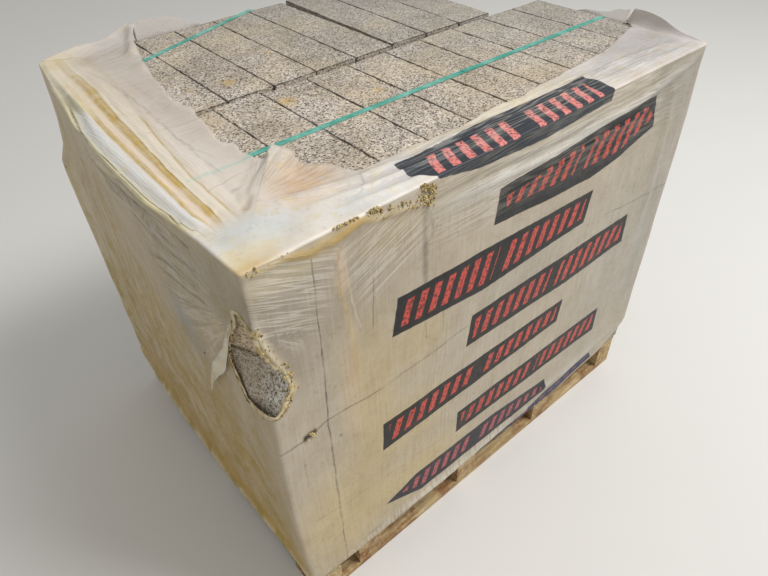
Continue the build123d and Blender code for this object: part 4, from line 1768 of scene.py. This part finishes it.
@dataclass
class Crumbs:
    """Crumbs of concrete caught in the film at its front lip and round the knocked-out corner.

    Attributes:
        lines: A path over the front wall, or over the left one where its first number is negative, with
            the number of crumbs along it and their spread.
    """

    hood: FilmHood
    finish: Material
    lines: tuple[tuple[tuple[float, ...], int, float], ...] = (
        ((142, -5, 163, -1, 187, 2), 50, 3.0),
        ((206, 2, 218, -3, 229, 21, 216, 14, 206, 2), 60, 6.0),
        ((229, 18, 240, 10, 262, 14, 282, 26, 300, 24), 55, 7.0),
        ((301, 0, 330, 19, 314, 35, 306, 16), 110, 9.0),
        ((8, 3, 40, 6, 70, 3), 20, 5.0),
        ((2, 100, 9, 140, 34, 211, 41, 246, 14, 278), 150, 9.0),
        ((-30, 310, -88, 322, -104, 284, -118, 250, -88, 165, -54, 112), 90, 6.0),
        ((-28, 92, -2, 100), 20, 5.0),
        ((45, 374, 68, 374), 16, 6.0),
    )
    radius: tuple[float, float] = (0.8, 2.1)
    columns: int = 7
    rows: int = 5

    def blob(self, middle: Array, radius: float, seed: float) -> Surface:
        """One crumb: a ball whose radius follows lattice noise, closed at its two poles.

        Args:
            middle: Its middle in the frame.
            radius: Its mean radius.
            seed: Offset of its noise.

        Returns:
            Points, quads and no wear.
        """
        turn, rise = np.meshgrid(np.linspace(0, 2 * pi, self.columns, endpoint=False),
                                 np.linspace(-pi / 2, pi / 2, self.rows), indexing="ij")
        ball = np.stack([np.cos(turn) * np.cos(rise), np.sin(turn) * np.cos(rise), np.sin(rise)], axis=-1)
        ball *= radius * (1 + 0.35 * lattice_noise(ball + seed, 0.8, 61))[..., None]
        faces = grid_faces(self.columns, self.rows, closed=True)
        return (middle + ball).reshape(-1, 3), faces, np.zeros(turn.size)

    def build(self) -> None:
        """Scatters the crumbs along their lines, half sunk in the film, as one piece."""
        draw = np.random.default_rng(71)
        blobs = []
        for path, count, spread in self.lines:
            nodes, runs = along_outline(path)
            at = draw.uniform(0, runs[-1], count)
            along, drop = (np.interp(at, runs, row) + draw.normal(0, spread / 2, count) for row in nodes.T)
            sizes = draw.uniform(*self.radius, count) ** 1.3
            middles = self.hood.on_walls(along, np.maximum(drop, -1.5), 0.3 * sizes)
            each = enumerate(zip(middles, sizes))
            blobs += [self.blob(middle, size, 9.0 * k) for k, (middle, size) in each]
        points, faces, values = joined(blobs)
        make_piece("concrete_crumbs", points, faces, [self.finish], "broken_concrete", arris=values)


# Yellow splashes on the top blocks: u, v and reach
YELLOW_SPLASHES = ((285, 535, 26), (316, 380, 34), (470, 300, 20), (210, 560, 16), (420, 620, 16))


@dataclass(frozen=True)
class StudioCamera:
    """The photograph's viewpoint: lens, direction, roll and place."""

    lens: float = 28.305
    azimuth: float = 38.453
    elevation: float = 41.259
    roll: float = -2.517
    place: tuple[float, float, float] = (-767.9, -1014.5, 1437.9)

    def build(self) -> None:
        """Adds the camera and makes it the scene's."""
        az, el, roll = (radians(a) for a in (self.azimuth, self.elevation, self.roll))
        ahead = Vector((sin(az) * cos(el), cos(az) * cos(el), -sin(el)))
        right = Vector((cos(az), -sin(az), 0.0))
        up = right.cross(ahead)
        rolled_right = right * cos(roll) + up * sin(roll)
        rolled_up = up * cos(roll) - right * sin(roll)
        camera = bpy.data.objects.new("camera", bpy.data.cameras.new("camera"))
        camera.data.lens = self.lens
        camera.data.sensor_width = 36.0
        camera.data.clip_end = 60.0
        turn = Matrix((rolled_right, rolled_up, -ahead)).transposed().to_4x4()
        camera.matrix_world = Matrix.Translation(Vector(self.place) * MM) @ turn
        bpy.context.scene.collection.objects.link(camera)
        bpy.context.scene.camera = camera


@dataclass(frozen=True)
class Studio:
    """Plain pale floor, soft daylight from the upper right and an even fill from the sky."""

    floor_size: float = 16.0
    key_power: float = 205.0
    key_place: tuple[float, float, float] = (1.9, -2.3, 4.7)
    key_aim: tuple[float, float, float] = (0.0, 0.0, 0.5)
    key_size: float = 2.0
    sky: float = 0.55
    sky_colour: str = "#f4f4f2"

    def build(self) -> None:
        """Adds the floor, the lamps and the world."""
        half = self.floor_size / 2
        mesh = bpy.data.meshes.new("studio_floor")
        corners = [(-half, -half, 0.0), (half, -half, 0.0), (half, half, 0.0), (-half, half, 0.0)]
        mesh.from_pydata(corners, [], [(0, 1, 2, 3)])
        mesh.materials.append(StageFloor().make())
        floor = bpy.data.objects.new("studio_floor", mesh)
        bpy.context.scene.collection.objects.link(floor)
        key = bpy.data.objects.new("key_light", bpy.data.lights.new("key_light", "AREA"))
        key.data.energy = self.key_power
        key.data.size = self.key_size
        key.location = self.key_place
        key.rotation_euler = (Vector(self.key_aim) - key.location).to_track_quat("-Z", "Y").to_euler()
        bpy.context.scene.collection.objects.link(key)
        world = bpy.data.worlds.new("studio_sky")
        bpy.context.scene.world = world
        world.use_nodes = True
        background = world.node_tree.nodes["Background"]
        background.inputs["Color"].default_value = linear(self.sky_colour)
        background.inputs["Strength"].default_value = self.sky
        bpy.context.scene.view_settings.view_transform = "Standard"


def main() -> None:
    """Builds the classes in order and reports each piece."""
    logging.basicConfig(level=logging.INFO, format="%(name)s: %(message)s")
    pack = Pack.from_frame()
    StudioCamera().build()
    Studio().build()
    stone = PressedConcrete(tuple((pack.place(u, v, 0.0), reach) for u, v, reach in YELLOW_SPLASHES)).make()
    damp = BrokenConcrete().make()
    dry = BrokenConcrete("fractured dense concrete, dry", 3.4, 2.2, "#fffbf2", "#d9cebb", "#6b5f4c",
                         (-0.435, -0.395, 1.0)).make()
    boards = SawnPine("rough sawn pine board", along=(0.06, 1.0, 1.0)).make()
    bearers = SawnPine("rough sawn pine bearer", along=(1.0, 0.06, 1.0)).make()
    finishes = {"course": stone, "strap": PolyesterStrap().make(), "bearer": bearers, "bottom": boards,
                "deck": boards}
    for name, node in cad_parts.items():
        finish = finishes.get(name.split("_")[0])
        if finish:
            node.data.materials.clear()
            node.data.materials.append(finish)
    TopCourse(pack, stone).build()
    BrokenCorner(pack, stone, damp, dry).build()
    hood = FilmHood(pack, PrintedFilm().make())
    hood.build()
    crumbs = BrokenConcrete("crumbled dense concrete", 4.0, 2.5, "#dcc894", "#b0955c", "#57452a")
    Crumbs(hood, crumbs.make()).build()


if __name__ == "__main__":
    main()
